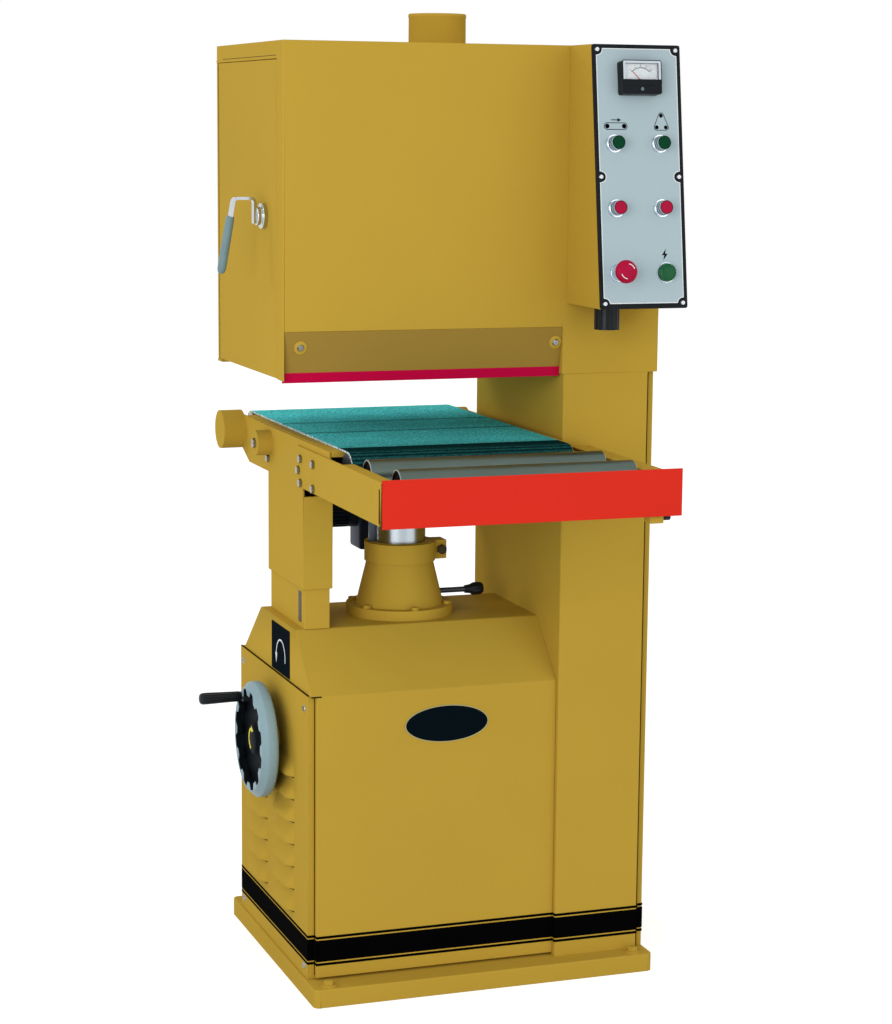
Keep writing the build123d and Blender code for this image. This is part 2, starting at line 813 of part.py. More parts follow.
# Side door: pan with a rounded rear edge that turns on two pins
with BuildPart() as side_door:
    with BuildSketch(Plane.XY.offset(door_z0)):
        with Locations((head_x0, door_y0)):
            Rectangle(door_t, hinge_y - door_y0, align=(Align.MIN, Align.MIN))
        with Locations((hinge_x, hinge_y)):
            Circle(door_t / 2)
    extrude(amount=door_z1 - door_z0)
    with Locations((head_x0 + sheet, door_y0 + sheet, door_z0 + sheet)):
        Box(
            door_t - sheet,
            hinge_y - door_t / 2 - door_y0 - sheet,
            door_z1 - door_z0 - 2 * sheet,
            align=corner,
            mode=Mode.SUBTRACT,
        )
    with BuildSketch(Plane.XY.offset(door_z0 - door_gap - door_lug_t)):
        with Locations((hinge_x, hinge_y)):
            Circle(door_pin_r)
    extrude(amount=door_z1 - door_z0 + 2 * door_gap + 2 * door_lug_t)
    with BuildSketch(Plane.YZ.offset(head_x0)):
        with Locations((latch_y, latch_z)):
            Circle(latch_shaft_r + run_clear)
    extrude(amount=sheet, mode=Mode.SUBTRACT)
side_door.part.label = "side_door"
export_step(side_door.part, "parts/side_door.step")

# Door latch: hub discs, bent strap and the tongue inside the door
latch_x = head_x0 - latch_disc_t - latch_hub_t
strap_x = latch_x - latch_strap_t / 2
latch_bend = latch_reach / 2
grip_top = Vector(strap_x - latch_reach, latch_y, latch_z)
grip_dir = Vector(-sin(radians(latch_splay)), 0, -cos(radians(latch_splay)))
with BuildPart() as door_latch:
    with BuildSketch(Plane.YZ.offset(head_x0 - latch_disc_t)):
        with Locations((latch_y, latch_z)):
            Circle(latch_disc_r)
    extrude(amount=latch_disc_t)
    with BuildSketch(Plane.YZ.offset(latch_x)):
        with Locations((latch_y, latch_z)):
            Circle(latch_hub_r)
    extrude(amount=latch_hub_t)
    fillet(door_latch.edges().filter_by(GeomType.CIRCLE), latch_edge_r)
    with BuildSketch(Plane.YZ.offset(head_x0)):
        with Locations((latch_y, latch_z)):
            Circle(latch_shaft_r)
    extrude(amount=door_t / 2)
    with Locations((head_x0 + door_t / 2, latch_y - latch_tongue_len, latch_z - latch_tongue_w / 2)):
        Box(latch_tongue_t, latch_tongue_len + latch_tongue_w / 2, latch_tongue_w, align=corner)
    with BuildSketch(Plane.XZ.offset(-latch_y)):
        with BuildLine():
            FilletPolyline(
                (strap_x, latch_z - latch_hub_r * 0.8),
                (strap_x, latch_z + latch_up),
                (grip_top.X + latch_up * tan(radians(latch_splay)), latch_z + latch_up),
                (grip_top.X + grip_dir.X * latch_grip_len / 4, latch_z + grip_dir.Z * latch_grip_len / 4),
                radius=latch_strap_t * 1.5,
            )
        trace(line_width=latch_strap_t)
    extrude(amount=latch_strap_w / 2, both=True)
door_latch.part.label = "door_latch"
export_step(door_latch.part, "parts/door_latch.step")

# Grip pushed over the end of the latch strap
grip_plane = Plane(
    origin=grip_top,
    x_dir=(0, 1, 0),
    z_dir=grip_dir,
)
with BuildPart() as latch_grip:
    with BuildSketch(grip_plane):
        RectangleRounded(2.4 * latch_grip_r, 1.6 * latch_grip_r, 0.7 * latch_grip_r)
    extrude(amount=latch_grip_len)
    fillet(latch_grip.faces().sort_by(Axis.Z)[0].edges(), latch_grip_r * 0.4)
    fillet(latch_grip.faces().sort_by(Axis.Z)[-1].edges(), latch_grip_r * 0.3)
    with BuildSketch(grip_plane):
        Rectangle(latch_strap_w + 2 * slide_clear, latch_strap_t + 2 * slide_clear)
    extrude(amount=latch_grip_len * 0.3, mode=Mode.SUBTRACT)
latch_grip.part.label = "latch_grip"
export_step(latch_grip.part, "parts/latch_grip.step")

# Roller plate: carries the idle roller axle and the tension rail
with BuildPart() as roller_plate:
    with Locations((plate_x0, drum_y - plate_margin, col_z1 + plate_margin / 4)):
        Box(
            plate_t,
            idle_y - drum_y + 2 * plate_margin,
            track_z + yoke_h / 2 + rail_t - col_z1 - plate_margin / 4,
            align=corner,
        )
    with Locations((rail_x0, track_y - rail_w / 2, track_z - yoke_h / 2 - tension_travel - rail_t)):
        Box(rail_t, rail_w, yoke_h + tension_travel + 2 * rail_t, align=corner)
    with BuildSketch(Plane.YZ.offset(drum_x0 - axle_end)):
        with Locations((idle_y, idle_z)):
            Circle(axle_r)
    extrude(amount=plate_x0 - drum_x0 + axle_end)
    with BuildSketch(Plane.YZ.offset(plate_x0)):
        with Locations((drum_y, drum_z)):
            Circle(shaft_hole_r)
    extrude(amount=plate_t, mode=Mode.SUBTRACT)
roller_plate.part.label = "roller_plate"
export_step(roller_plate.part, "parts/roller_plate.step")

# Drum bearings: shelf on the chamber wall with two pillow blocks
shelf_z1 = drum_z - block_rise
with BuildPart() as drum_bearings:
    with Locations((wall_x1, drum_y - shelf_w / 2, shelf_z1 - shelf_t)):
        Box(shelf_x1 - wall_x1, shelf_w, shelf_t, align=corner)
    for block in range(2):
        block_x = wall_x1 + block_gap + block * (block_t + block_gap)
        with Locations((block_x, drum_y - shelf_w * 0.4, shelf_z1)):
            Box(block_t, shelf_w * 0.8, block_foot, align=corner)
        with BuildSketch(Plane.YZ.offset(block_x)):
            with Locations((drum_y, drum_z)):
                Circle(block_r)
        extrude(amount=block_t)
    with BuildSketch(Plane.YZ.offset(wall_x1)):
        with Locations((drum_y, drum_z)):
            Circle(drum_shaft_r + run_clear)
    extrude(amount=shelf_x1 - wall_x1, mode=Mode.SUBTRACT)
drum_bearings.part.label = "drum_bearings"
export_step(drum_bearings.part, "parts/drum_bearings.step")

# Contact drum: steel shell on its shaft, with the grooved pulley at the right
with BuildPart() as contact_drum:
    with BuildSketch(Plane.YZ.offset(drum_x0)):
        with Locations((drum_y, drum_z)):
            Circle(drum_r - drum_rubber)
    extrude(amount=drum_len)
    with BuildSketch(Plane.YZ.offset(drum_x0 + drum_wall)):
        with Locations((drum_y, drum_z)):
            Circle(drum_r - drum_rubber - drum_wall)
    extrude(amount=drum_len - 2 * drum_wall, mode=Mode.SUBTRACT)
    with BuildSketch(Plane.YZ.offset(drum_x0)):
        with Locations((drum_y, drum_z)):
            with PolarLocations((drum_r - drum_rubber + drum_shaft_r) / 2, 4):
                Circle(drum_wall)
    extrude(amount=drum_len, mode=Mode.SUBTRACT)
    with BuildSketch(Plane.YZ.offset(drum_x0 - axle_end)):
        with Locations((drum_y, drum_z)):
            Circle(drum_shaft_r)
    extrude(amount=pulley_x1 + axle_end - drum_x0 + axle_end)
    with BuildSketch(Plane.YZ.offset(pulley_x0)):
        with Locations((drum_y, drum_z)):
            Circle(drum_pulley_r)
            Circle(drum_shaft_r + run_clear, mode=Mode.SUBTRACT)
    extrude(amount=pulley_w)
    for belt_x in vbelt_xs:
        with BuildSketch(Plane.YZ.offset(belt_x - groove_w / 2)):
            with Locations((drum_y, drum_z)):
                Circle(drum_pulley_r + groove_d)
                Circle(drum_pulley_r - groove_d, mode=Mode.SUBTRACT)
        extrude(amount=groove_w, mode=Mode.SUBTRACT)
contact_drum.part.label = "contact_drum"
export_step(contact_drum.part, "parts/contact_drum.step")

# Rubber sleeve bonded on the drum
with BuildPart() as drum_sleeve:
    with BuildSketch(Plane.YZ.offset(drum_x0)):
        with Locations((drum_y, drum_z)):
            Circle(drum_r)
            Circle(drum_r - drum_rubber, mode=Mode.SUBTRACT)
    extrude(amount=drum_len)
drum_sleeve.part.label = "drum_sleeve"
export_step(drum_sleeve.part, "parts/drum_sleeve.step")

# Idle roller behind the drum
with BuildPart() as idle_roller:
    with BuildSketch(Plane.YZ.offset(drum_x0)):
        with Locations((idle_y, idle_z)):
            Circle(idle_r)
            Circle(axle_r + run_clear, mode=Mode.SUBTRACT)
    extrude(amount=drum_len - end_gap)
idle_roller.part.label = "idle_roller"
export_step(idle_roller.part, "parts/idle_roller.step")

# Tension yoke: block on the vertical rail with the upper axle
with BuildPart() as tension_yoke:
    with Locations((yoke_x0, track_y - yoke_w / 2, track_z - yoke_h / 2)):
        Box(yoke_t, yoke_w, yoke_h, align=corner)
    with Locations((rail_x0 - slide_clear, track_y - rail_w / 2 - slide_clear, track_z - yoke_h / 2)):
        Box(rail_t + slide_clear, rail_w + 2 * slide_clear, yoke_h, align=corner, mode=Mode.SUBTRACT)
    with BuildSketch(Plane.YZ.offset(drum_x0 - axle_end)):
        with Locations((track_y, track_z)):
            Circle(axle_r)
    extrude(amount=yoke_x0 - drum_x0 + axle_end)
tension_yoke.part.label = "tension_yoke"
export_step(tension_yoke.part, "parts/tension_yoke.step")

# Tracking roller at the top of the sanding belt
with BuildPart() as tracking_roller:
    with BuildSketch(Plane.YZ.offset(drum_x0)):
        with Locations((track_y, track_z)):
            Circle(track_r)
            Circle(axle_r + run_clear, mode=Mode.SUBTRACT)
    extrude(amount=drum_len - end_gap)
tracking_roller.part.label = "tracking_roller"
export_step(tracking_roller.part, "parts/tracking_roller.step")

# Sanding belt round the drum and the two rollers
belt_spots = [
    (drum_y, drum_z, drum_r + belt_clear),
    (idle_y, idle_z, idle_r + belt_clear),
    (track_y, track_z, track_r + belt_clear),
]
with BuildPart() as sanding_belt:
    with BuildSketch(Plane.YZ.offset(abrasive_x0)):
        for spot_y, spot_z, spot_r in belt_spots:
            with Locations((spot_y, spot_z)):
                Circle(spot_r + abrasive_t)
        make_hull()
    extrude(amount=abrasive_w)
    with BuildSketch(Plane.YZ.offset(abrasive_x0)):
        for spot_y, spot_z, spot_r in belt_spots:
            with Locations((spot_y, spot_z)):
                Circle(spot_r)
        make_hull()
    extrude(amount=abrasive_w, mode=Mode.SUBTRACT)
sanding_belt.part.label = "sanding_belt"
export_step(sanding_belt.part, "parts/sanding_belt.step")

# Main motor on the base, shaft to the right
with BuildPart() as main_motor:
    with BuildSketch(Plane.YZ.offset(motor_x0)):
        with Locations((motor_y, motor_z)):
            Circle(motor_r)
    extrude(amount=motor_fan_len + motor_len)
    with BuildSketch(Plane.YZ.offset(motor_x1 - motor_bell_len)):
        with Locations((motor_y, motor_z)):
            Circle(motor_bell_r)
    extrude(amount=motor_bell_len)
    motor_mid_x = motor_x0 + motor_fan_len + motor_len / 2
    with Locations((motor_mid_x, motor_y, base_h)):
        Box(motor_foot_len, motor_foot_w, motor_z - base_h, align=low)
    with Locations((motor_mid_x, motor_y, motor_z)):
        Box(motor_box, motor_box, motor_r + motor_box_h, align=low)
    with BuildSketch(Plane.YZ.offset(motor_x1 - motor_len / 4)):
        with Locations((motor_y, motor_z)):
            Circle(motor_shaft_r + run_clear)
    extrude(amount=motor_len / 4, mode=Mode.SUBTRACT)
main_motor.part.label = "main_motor"
export_step(main_motor.part, "parts/main_motor.step")

# Motor shaft with its grooved pulley
with BuildPart() as motor_pulley:
    with BuildSketch(Plane.YZ.offset(motor_x1 - motor_len / 4 + end_gap)):
        with Locations((motor_y, motor_z)):
            Circle(motor_shaft_r)
    extrude(amount=pulley_x1 + axle_end - motor_x1 + motor_len / 4 - end_gap)
    with BuildSketch(Plane.YZ.offset(pulley_x0)):
        with Locations((motor_y, motor_z)):
            Circle(motor_pulley_r)
    extrude(amount=pulley_w)
    for belt_x in vbelt_xs:
        with BuildSketch(Plane.YZ.offset(belt_x - groove_w / 2)):
            with Locations((motor_y, motor_z)):
                Circle(motor_pulley_r + groove_d)
                Circle(motor_pulley_r - groove_d, mode=Mode.SUBTRACT)
        extrude(amount=groove_w, mode=Mode.SUBTRACT)
motor_pulley.part.label = "motor_pulley"
export_step(motor_pulley.part, "parts/motor_pulley.step")

# Two V-belts up the column
with BuildPart() as drive_belts:
    for belt_x in vbelt_xs:
        with BuildSketch(Plane.YZ.offset(belt_x - vbelt_w / 2)):
            with Locations((motor_y, motor_z)):
                Circle(motor_pulley_r)
            with Locations((drum_y, drum_z)):
                Circle(drum_pulley_r)
            make_hull()
        extrude(amount=vbelt_w)
    for belt_x in vbelt_xs:
        with BuildSketch(Plane.YZ.offset(belt_x - vbelt_w / 2)):
            with Locations((motor_y, motor_z)):
                Circle(motor_pulley_r - groove_d + belt_clear)
            with Locations((drum_y, drum_z)):
                Circle(drum_pulley_r - groove_d + belt_clear)
            make_hull()
        extrude(amount=vbelt_w, mode=Mode.SUBTRACT)
drive_belts.part.label = "drive_belts"
export_step(drive_belts.part, "parts/drive_belts.step")

# Pedestal: flanged cone with a split clamp collar, keyed bore
lift_plane = Plane(origin=(lift_x, lift_y, 0), x_dir=(1, 0, 0), z_dir=(0, -1, 0))
lift_axis = Axis((lift_x, lift_y, 0), (0, 0, 1))
key_dir = (cos(radians(key_angle)), sin(radians(key_angle)), 0)
key_side = (sin(radians(key_angle)), -cos(radians(key_angle)), 0)
ear_mid_x = lift_x + collar_r + ear_out / 2
clamp_z = collar_low_z + collar_h / 2
with BuildPart() as pedestal:
    with BuildSketch(lift_plane):
        with BuildLine():
            Polyline(
                (lift_r + run_clear, deck_z),
                (flange_r, deck_z),
                (flange_r, deck_z + flange_t),
                (cone_r, deck_z + flange_t),
                (cone_top_r, collar_low_z),
                (collar_r, collar_low_z),
                (collar_r, collar_z1),
                (lift_r + run_clear, collar_z1),
                close=True,
            )
        make_face()
    revolve(axis=lift_axis)
    with Locations((lift_x + cone_top_r, lift_y - ear_w / 2, collar_low_z)):
        Box(collar_r - cone_top_r + ear_out, ear_w, collar_h, align=corner)
    with Locations((lift_x + lift_r - ear_slit, lift_y - ear_slit / 2, collar_low_z)):
        Box(collar_r + ear_out, ear_slit, collar_h, align=corner, mode=Mode.SUBTRACT)
    with BuildSketch(Plane(origin=(lift_x, lift_y, deck_z), x_dir=key_dir, z_dir=(0, 0, 1))):
        with Locations(((lift_r + key_out + slide_clear) / 2, 0)):
            Rectangle(lift_r + key_out + slide_clear, key_w + 2 * slide_clear)
    extrude(amount=collar_z1 - deck_z, mode=Mode.SUBTRACT)
    with BuildSketch(Plane.YZ.offset(lift_x)):
        with Locations((lift_y, lever_z)):
            Circle(lever_r + run_clear)
    extrude(amount=flange_r, mode=Mode.SUBTRACT)
    with BuildSketch(Plane.XY.offset(deck_z)):
        with Locations((lift_x, lift_y)):
            with PolarLocations(pedestal_bolt_r, pedestal_bolts_n, start_angle=180 / pedestal_bolts_n):
                Circle(small_r + bolt_clear)
    extrude(amount=flange_t, mode=Mode.SUBTRACT)
    with BuildSketch(Plane.XZ.offset(-lift_y)):
        with Locations((ear_mid_x, clamp_z)):
            Circle(clamp_bolt_r + bolt_clear)
    extrude(amount=ear_w, both=True, mode=Mode.SUBTRACT)
pedestal.part.label = "pedestal"
export_step(pedestal.part, "parts/pedestal.step")

# Lock lever: clamp rod with a black knob
with BuildPart() as lock_lever:
    with BuildSketch(Plane.YZ.offset(lift_x + lift_r + slide_clear)):
        with Locations((lift_y, lever_z)):
            Circle(lever_r)
    extrude(amount=lever_len - knob_len)
    with BuildSketch(Plane.YZ.offset(lever_x1 - knob_len)):
        with Locations((lift_y, lever_z)):
            Circle(knob_r)
    extrude(amount=knob_len)
    fillet(lock_lever.edges().filter_by(GeomType.CIRCLE).sort_by(SortBy.RADIUS)[-2:], knob_r / 3)
lock_lever.part.label = "lock_lever"
export_step(lock_lever.part, "parts/lock_lever.step")

# Lift column: polished tube with the lift nut in its foot and the key
with BuildPart() as lift_column:
    with BuildSketch(Plane.XY.offset(lift_low_z)):
        with Locations((lift_x, lift_y)):
            Circle(lift_r)
    extrude(amount=side_low_z - lift_low_z)
    with BuildSketch(Plane(origin=(lift_x, lift_y, key_low_z), x_dir=key_dir, z_dir=(0, 0, 1))):
        with Locations(((lift_r + key_out) / 2, 0)):
            Rectangle(lift_r + key_out, key_w)
    extrude(amount=side_low_z - key_low_z)
    with BuildSketch(Plane.XY.offset(lift_low_z + nut_h)):
        with Locations((lift_x, lift_y)):
            Circle(lift_r - lift_wall)
    extrude(amount=side_low_z - lift_low_z - nut_h, mode=Mode.SUBTRACT)
    with BuildSketch(Plane.XY.offset(lift_low_z)):
        with Locations((lift_x, lift_y)):
            Circle(screw_r + run_clear)
    extrude(amount=nut_h, mode=Mode.SUBTRACT)
    with BuildSketch(Plane(origin=(lift_x, lift_y, key_hole_z), x_dir=key_dir, z_dir=key_side)):
        with Locations((lift_r + key_out / 2, 0)):
            Circle(key_hole_r)
    extrude(amount=key_w, both=True, mode=Mode.SUBTRACT)
lift_column.part.label = "lift_column"
export_step(lift_column.part, "parts/lift_column.step")

# Screw bracket: frame under the deck for the leadscrew and the wheel shaft
bracket_x0 = lift_x - bracket_leg_gap - bracket_t
bracket_len = 2 * bracket_leg_gap + 2 * bracket_t
with BuildPart() as screw_bracket:
    with Locations((lift_x, lift_y, bracket_z0)):
        Box(bracket_len, bracket_w, bracket_z1 - bracket_z0, align=low)
    with Locations((lift_x, lift_y, bracket_z0 + bracket_foot_t)):
        Box(
            2 * bracket_leg_gap,
            bracket_w,
            bracket_z1 - bracket_z0 - bracket_foot_t - bracket_t,
            align=low,
            mode=Mode.SUBTRACT,
        )
    with BuildSketch(Plane.XY.offset(bracket_z1 - bracket_t)):
        with Locations((lift_x, lift_y)):
            Circle(lift_r + key_out + guide_clear)
            with PolarLocations(pedestal_bolt_r, pedestal_bolts_n, start_angle=180 / pedestal_bolts_n):
                Circle(small_r + bolt_clear)
    extrude(amount=bracket_t, mode=Mode.SUBTRACT)
    with BuildSketch(Plane.XY.offset(bracket_z0)):
        with Locations((lift_x, lift_y)):
            Circle(screw_r + run_clear)
    extrude(amount=bracket_foot_t, mode=Mode.SUBTRACT)
    with BuildSketch(Plane.YZ.offset(bracket_x0)):
        with Locations((lift_y, wheel_z)):
            Circle(wheel_shaft_r + run_clear)
    extrude(amount=bracket_t, mode=Mode.SUBTRACT)
screw_bracket.part.label = "screw_bracket"
export_step(screw_bracket.part, "parts/screw_bracket.step")

# Leadscrew with its bevel gear
gear_z = wheel_z - pinion_r
gear_small = (gear_r - gear_face) / gear_r
with BuildPart() as leadscrew:
    with BuildSketch(lift_plane):
        with BuildLine():
            Polyline(
                (0, bracket_z0),
                (screw_r, bracket_z0),
                (screw_r, bracket_z0 + bracket_foot_t + slide_clear),
                (pinion_r, bracket_z0 + bracket_foot_t + slide_clear),
                (pinion_r, gear_z - gear_back),
                (gear_r, gear_z - gear_back),
                (gear_r, gear_z),
                (gear_r * gear_small, wheel_z - pinion_r * gear_small),
                (screw_r, wheel_z - pinion_r * gear_small),
                (screw_r, screw_top_z),
                (0, screw_top_z),
                close=True,
            )
        make_face()
    revolve(axis=lift_axis)
leadscrew.part.label = "leadscrew"
export_step(leadscrew.part, "parts/leadscrew.step")

# Handwheel shaft with its bevel pinion
shaft_plane = Plane(origin=(0, lift_y, wheel_z), x_dir=(1, 0, 0), z_dir=(0, -1, 0))
shaft_axis = Axis((0, lift_y, wheel_z), (1, 0, 0))
with BuildPart() as handwheel_shaft:
    with BuildSketch(shaft_plane):
        with BuildLine():
            Polyline(
                (wheel_x0 + wheel_web_t, 0),
                (wheel_x0 + wheel_web_t, wheel_shaft_r),
                (lift_x - gear_r - gear_back, wheel_shaft_r),
                (lift_x - gear_r - gear_back, pinion_r - gear_gap),
                (lift_x - gear_r, pinion_r - gear_gap),
                (lift_x - gear_r * gear_small, pinion_r * gear_small - gear_gap),
                (lift_x - gear_r * gear_small, 0),
                close=True,
            )
        make_face()
    revolve(axis=shaft_axis)
handwheel_shaft.part.label = "handwheel_shaft"
export_step(handwheel_shaft.part, "parts/handwheel_shaft.step")

# Handwheel: rim with scallops, web, hub and the stud of the crank
web_x1 = wheel_x1 - wheel_web_t / 2
with BuildPart() as handwheel:
    with BuildSketch(Plane.YZ.offset(wheel_x0)):
        with Locations((lift_y, wheel_z)):
            Circle(wheel_r)
            Circle(wheel_r - wheel_rim_t, mode=Mode.SUBTRACT)
    extrude(amount=wheel_rim_w)
    fillet(handwheel.edges().filter_by(GeomType.CIRCLE).sort_by(SortBy.RADIUS)[-2:], wheel_rim_t / 3)
    with BuildSketch(Plane.YZ.offset(wheel_x0)):
        with Locations((lift_y, wheel_z)):
            with PolarLocations(wheel_r - wheel_rim_t, wheel_scallops):
                Circle(scallop_r)
    extrude(amount=scallop_depth, mode=Mode.SUBTRACT)
    with BuildSketch(Plane.YZ.offset(web_x1 - wheel_web_t)):
        with Locations((lift_y, wheel_z)):
            Circle(wheel_r - wheel_rim_t)
    extrude(amount=wheel_web_t)
    with BuildSketch(Plane.YZ.offset(wheel_x0)):
        with Locations((lift_y, wheel_z)):
            Circle(wheel_hub_r)
    extrude(amount=wheel_hub_len)
    with BuildSketch(Plane.YZ.offset(wheel_x0)):
        with Locations((crank_y, crank_z)):
            Circle(crank_r)
    extrude(amount=web_x1 - wheel_x0)
    with BuildSketch(Plane.YZ.offset(wheel_x0 - end_gap - crank_len - end_gap)):
        with Locations((crank_y, crank_z)):
            Circle(crank_stud_r)
    extrude(amount=crank_len + 2 * end_gap)
    with BuildSketch(Plane.YZ.offset(wheel_x0 + wheel_web_t)):
        with Locations((lift_y, wheel_z)):
            Circle(wheel_shaft_r + run_clear)
    extrude(amount=wheel_hub_len, mode=Mode.SUBTRACT)
handwheel.part.label = "handwheel"
export_step(handwheel.part, "parts/handwheel.step")

# Crank handle turning on its stud
with BuildPart() as crank_handle:
    with BuildSketch(Plane.YZ.offset(wheel_x0 - end_gap - crank_len)):
        with Locations((crank_y, crank_z)):
            Circle(crank_r)
    extrude(amount=crank_len)
    fillet(crank_handle.edges().filter_by(GeomType.CIRCLE), crank_edge_r)
    with BuildSketch(Plane.YZ.offset(wheel_x0 - end_gap - crank_len)):
        with Locations((crank_y, crank_z)):
            Circle(crank_stud_r + run_clear)
    extrude(amount=crank_len, mode=Mode.SUBTRACT)
crank_handle.part.label = "crank_handle"
export_step(crank_handle.part, "parts/crank_handle.step")

# Guide post: square tube standing on the deck
with BuildPart() as guide_post:
    with Locations((post_x, post_y, deck_z)):
        Box(post_w, post_d, post_h, align=low)
        Box(post_w - 2 * post_wall, post_d - 2 * post_wall, post_h, align=low, mode=Mode.SUBTRACT)
guide_post.part.label = "guide_post"
export_step(guide_post.part, "parts/guide_post.step")

# Table frame: side plates, saddle, guide sleeve and bearing caps
with BuildPart() as table_frame:
    for plate_x in (side_x0, side_x1 - side_t):
        with BuildSketch(Plane.YZ.offset(plate_x)):
            with BuildLine():
                Polyline(
                    (side_front_y, side_low_z),
                    (conv_rear_y - 2 * side_end_r, side_low_z),
                    (conv_rear_y, conv_axis_z - side_end_r),
                    (conv_rear_y, side_top_z),
                    (side_front_y, side_top_z),
                    close=True,
                )
            make_face()
            with Locations((conv_rear_y, conv_axis_z)):
                Circle(side_end_r)
            with Locations((conv_front_y - tongue_over, conv_top_z - tongue_top_drop - tongue_h)):
                Rectangle(
                    side_front_y - conv_front_y + tongue_over,
                    tongue_h,
                    align=(Align.MIN, Align.MIN),
                )
        extrude(amount=side_t)
    with Locations((side_x0 + side_t, saddle_y0, side_low_z)):
        Box(side_x1 - side_x0 - 2 * side_t, saddle_y1 - saddle_y0, saddle_t, align=corner)
    with Locations((post_x, post_y, side_low_z - sleeve_drop)):
        Box(sleeve_w, sleeve_d, sleeve_drop, align=low)
        Box(
            post_w + 2 * guide_clear,
            post_d + 2 * guide_clear,
            sleeve_drop,
            align=low,
            mode=Mode.SUBTRACT,
        )
    with Locations((post_x, post_y - sleeve_d / 2, side_low_z - sleeve_notch)):
        Box(sleeve_w - 2 * sleeve_wall, 2 * sleeve_wall, sleeve_notch, align=low, mode=Mode.SUBTRACT)
    with BuildSketch(Plane.YZ.offset(side_x0 - cap_len)):
        with Locations((conv_rear_y, conv_axis_z)):
            Circle(cap_r)
    extrude(amount=cap_len)
    with BuildSketch(Plane.YZ.offset(side_x0 - cap_len + cap_wall)):
        with Locations((conv_rear_y, conv_axis_z)):
            Circle(cap_r - cap_wall)
    extrude(amount=cap_len - cap_wall, mode=Mode.SUBTRACT)
    with BuildSketch(Plane.YZ.offset(side_x1)):
        with Locations((conv_rear_y, conv_axis_z)):
            Circle(side_end_r)
    extrude(amount=right_cap_len)
    with BuildSketch(Plane.YZ.offset(side_x0 - tie_len)):
        with Locations((tie_y, tie_z)):
            Circle(tie_r)
    extrude(amount=tie_len)
    with BuildSketch(Plane.YZ.offset(side_x0)):
        with Locations((conv_rear_y, conv_axis_z), (conv_front_y, conv_axis_z)):
            Circle(conv_axle_r + run_clear)
    extrude(amount=side_x1 - side_x0 + right_cap_len - cap_wall, mode=Mode.SUBTRACT)
    with BuildSketch(Plane.YZ.offset(side_x0)):
        with Locations((rail_bolt_y, rail_bolt_z)):
            with GridLocations(rail_bolt_dy, rail_bolt_dz, 2, 2):
                Circle(small_r + bolt_clear)
        with Locations((end_bolt_y, rail_bolt_z), (low_bolt_y, low_bolt_z)):
            Circle(small_r + bolt_clear)
    extrude(amount=side_t, mode=Mode.SUBTRACT)
    with BuildSketch(Plane.YZ.offset(side_x1 - side_t)):
        with Locations(*spacer_bolts):
            Circle(small_r + bolt_clear)
    extrude(amount=side_t, mode=Mode.SUBTRACT)
    with BuildSketch(Plane.YZ.offset(side_x0 - tie_len)):
        with Locations((tie_y, tie_z)):
            Circle(small_r + bolt_clear)
    extrude(amount=tie_len, mode=Mode.SUBTRACT)
table_frame.part.label = "table_frame"
export_step(table_frame.part, "parts/table_frame.step")

# Conveyor bed under the upper run of the belt
with BuildPart() as conveyor_bed:
    with Locations((side_x0 + side_t, bed_y0, conv_top_z - conv_belt_t - bed_clear - bed_t)):
        Box(side_x1 - side_x0 - 2 * side_t, bed_y1 - bed_y0, bed_t, align=corner)
conveyor_bed.part.label = "conveyor_bed"
export_step(conveyor_bed.part, "parts/conveyor_bed.step")

# Conveyor belt round the two table rollers
with BuildPart() as conveyor_belt:
    with BuildSketch(Plane.YZ.offset(belt_x0)):
        with Locations((conv_front_y, conv_axis_z), (conv_rear_y, conv_axis_z)):
            Circle(conv_roller_r + belt_clear + conv_belt_t)
        make_hull()
    extrude(amount=conv_belt_w)
    with BuildSketch(Plane.YZ.offset(belt_x0)):
        with Locations((conv_front_y, conv_axis_z), (conv_rear_y, conv_axis_z)):
            Circle(conv_roller_r + belt_clear)
        make_hull()
    extrude(amount=conv_belt_w, mode=Mode.SUBTRACT)
conveyor_belt.part.label = "conveyor_belt"
export_step(conveyor_belt.part, "parts/conveyor_belt.step")

# Drive roller at the rear with its chain sprocket
with BuildPart() as drive_roller:
    with BuildSketch(Plane.YZ.offset(belt_x0)):
        with Locations((conv_rear_y, conv_axis_z)):
            Circle(conv_roller_r)
    extrude(amount=conv_belt_w)
    with BuildSketch(Plane.YZ.offset(side_x0 - cap_len / 2)):
        with Locations((conv_rear_y, conv_axis_z)):
            Circle(conv_axle_r)
    extrude(amount=side_x1 - side_x0 + cap_len / 2 + right_cap_len / 2)
    with BuildSketch(Plane.YZ.offset(sprocket_x - sprocket_w / 2)):
        with Locations((conv_rear_y, conv_axis_z)):
            Circle(roller_sprocket_r)
    extrude(amount=sprocket_w)
drive_roller.part.label = "drive_roller"
export_step(drive_roller.part, "parts/drive_roller.step")

# Tail roller at the front
with BuildPart() as tail_roller:
    with BuildSketch(Plane.YZ.offset(belt_x0)):
        with Locations((conv_front_y, conv_axis_z)):
            Circle(conv_roller_r)
    extrude(amount=conv_belt_w)
    with BuildSketch(Plane.YZ.offset(side_x0)):
        with Locations((conv_front_y, conv_axis_z)):
            Circle(conv_axle_r)
    extrude(amount=side_x1 - side_x0)
tail_roller.part.label = "tail_roller"
export_step(tail_roller.part, "parts/tail_roller.step")

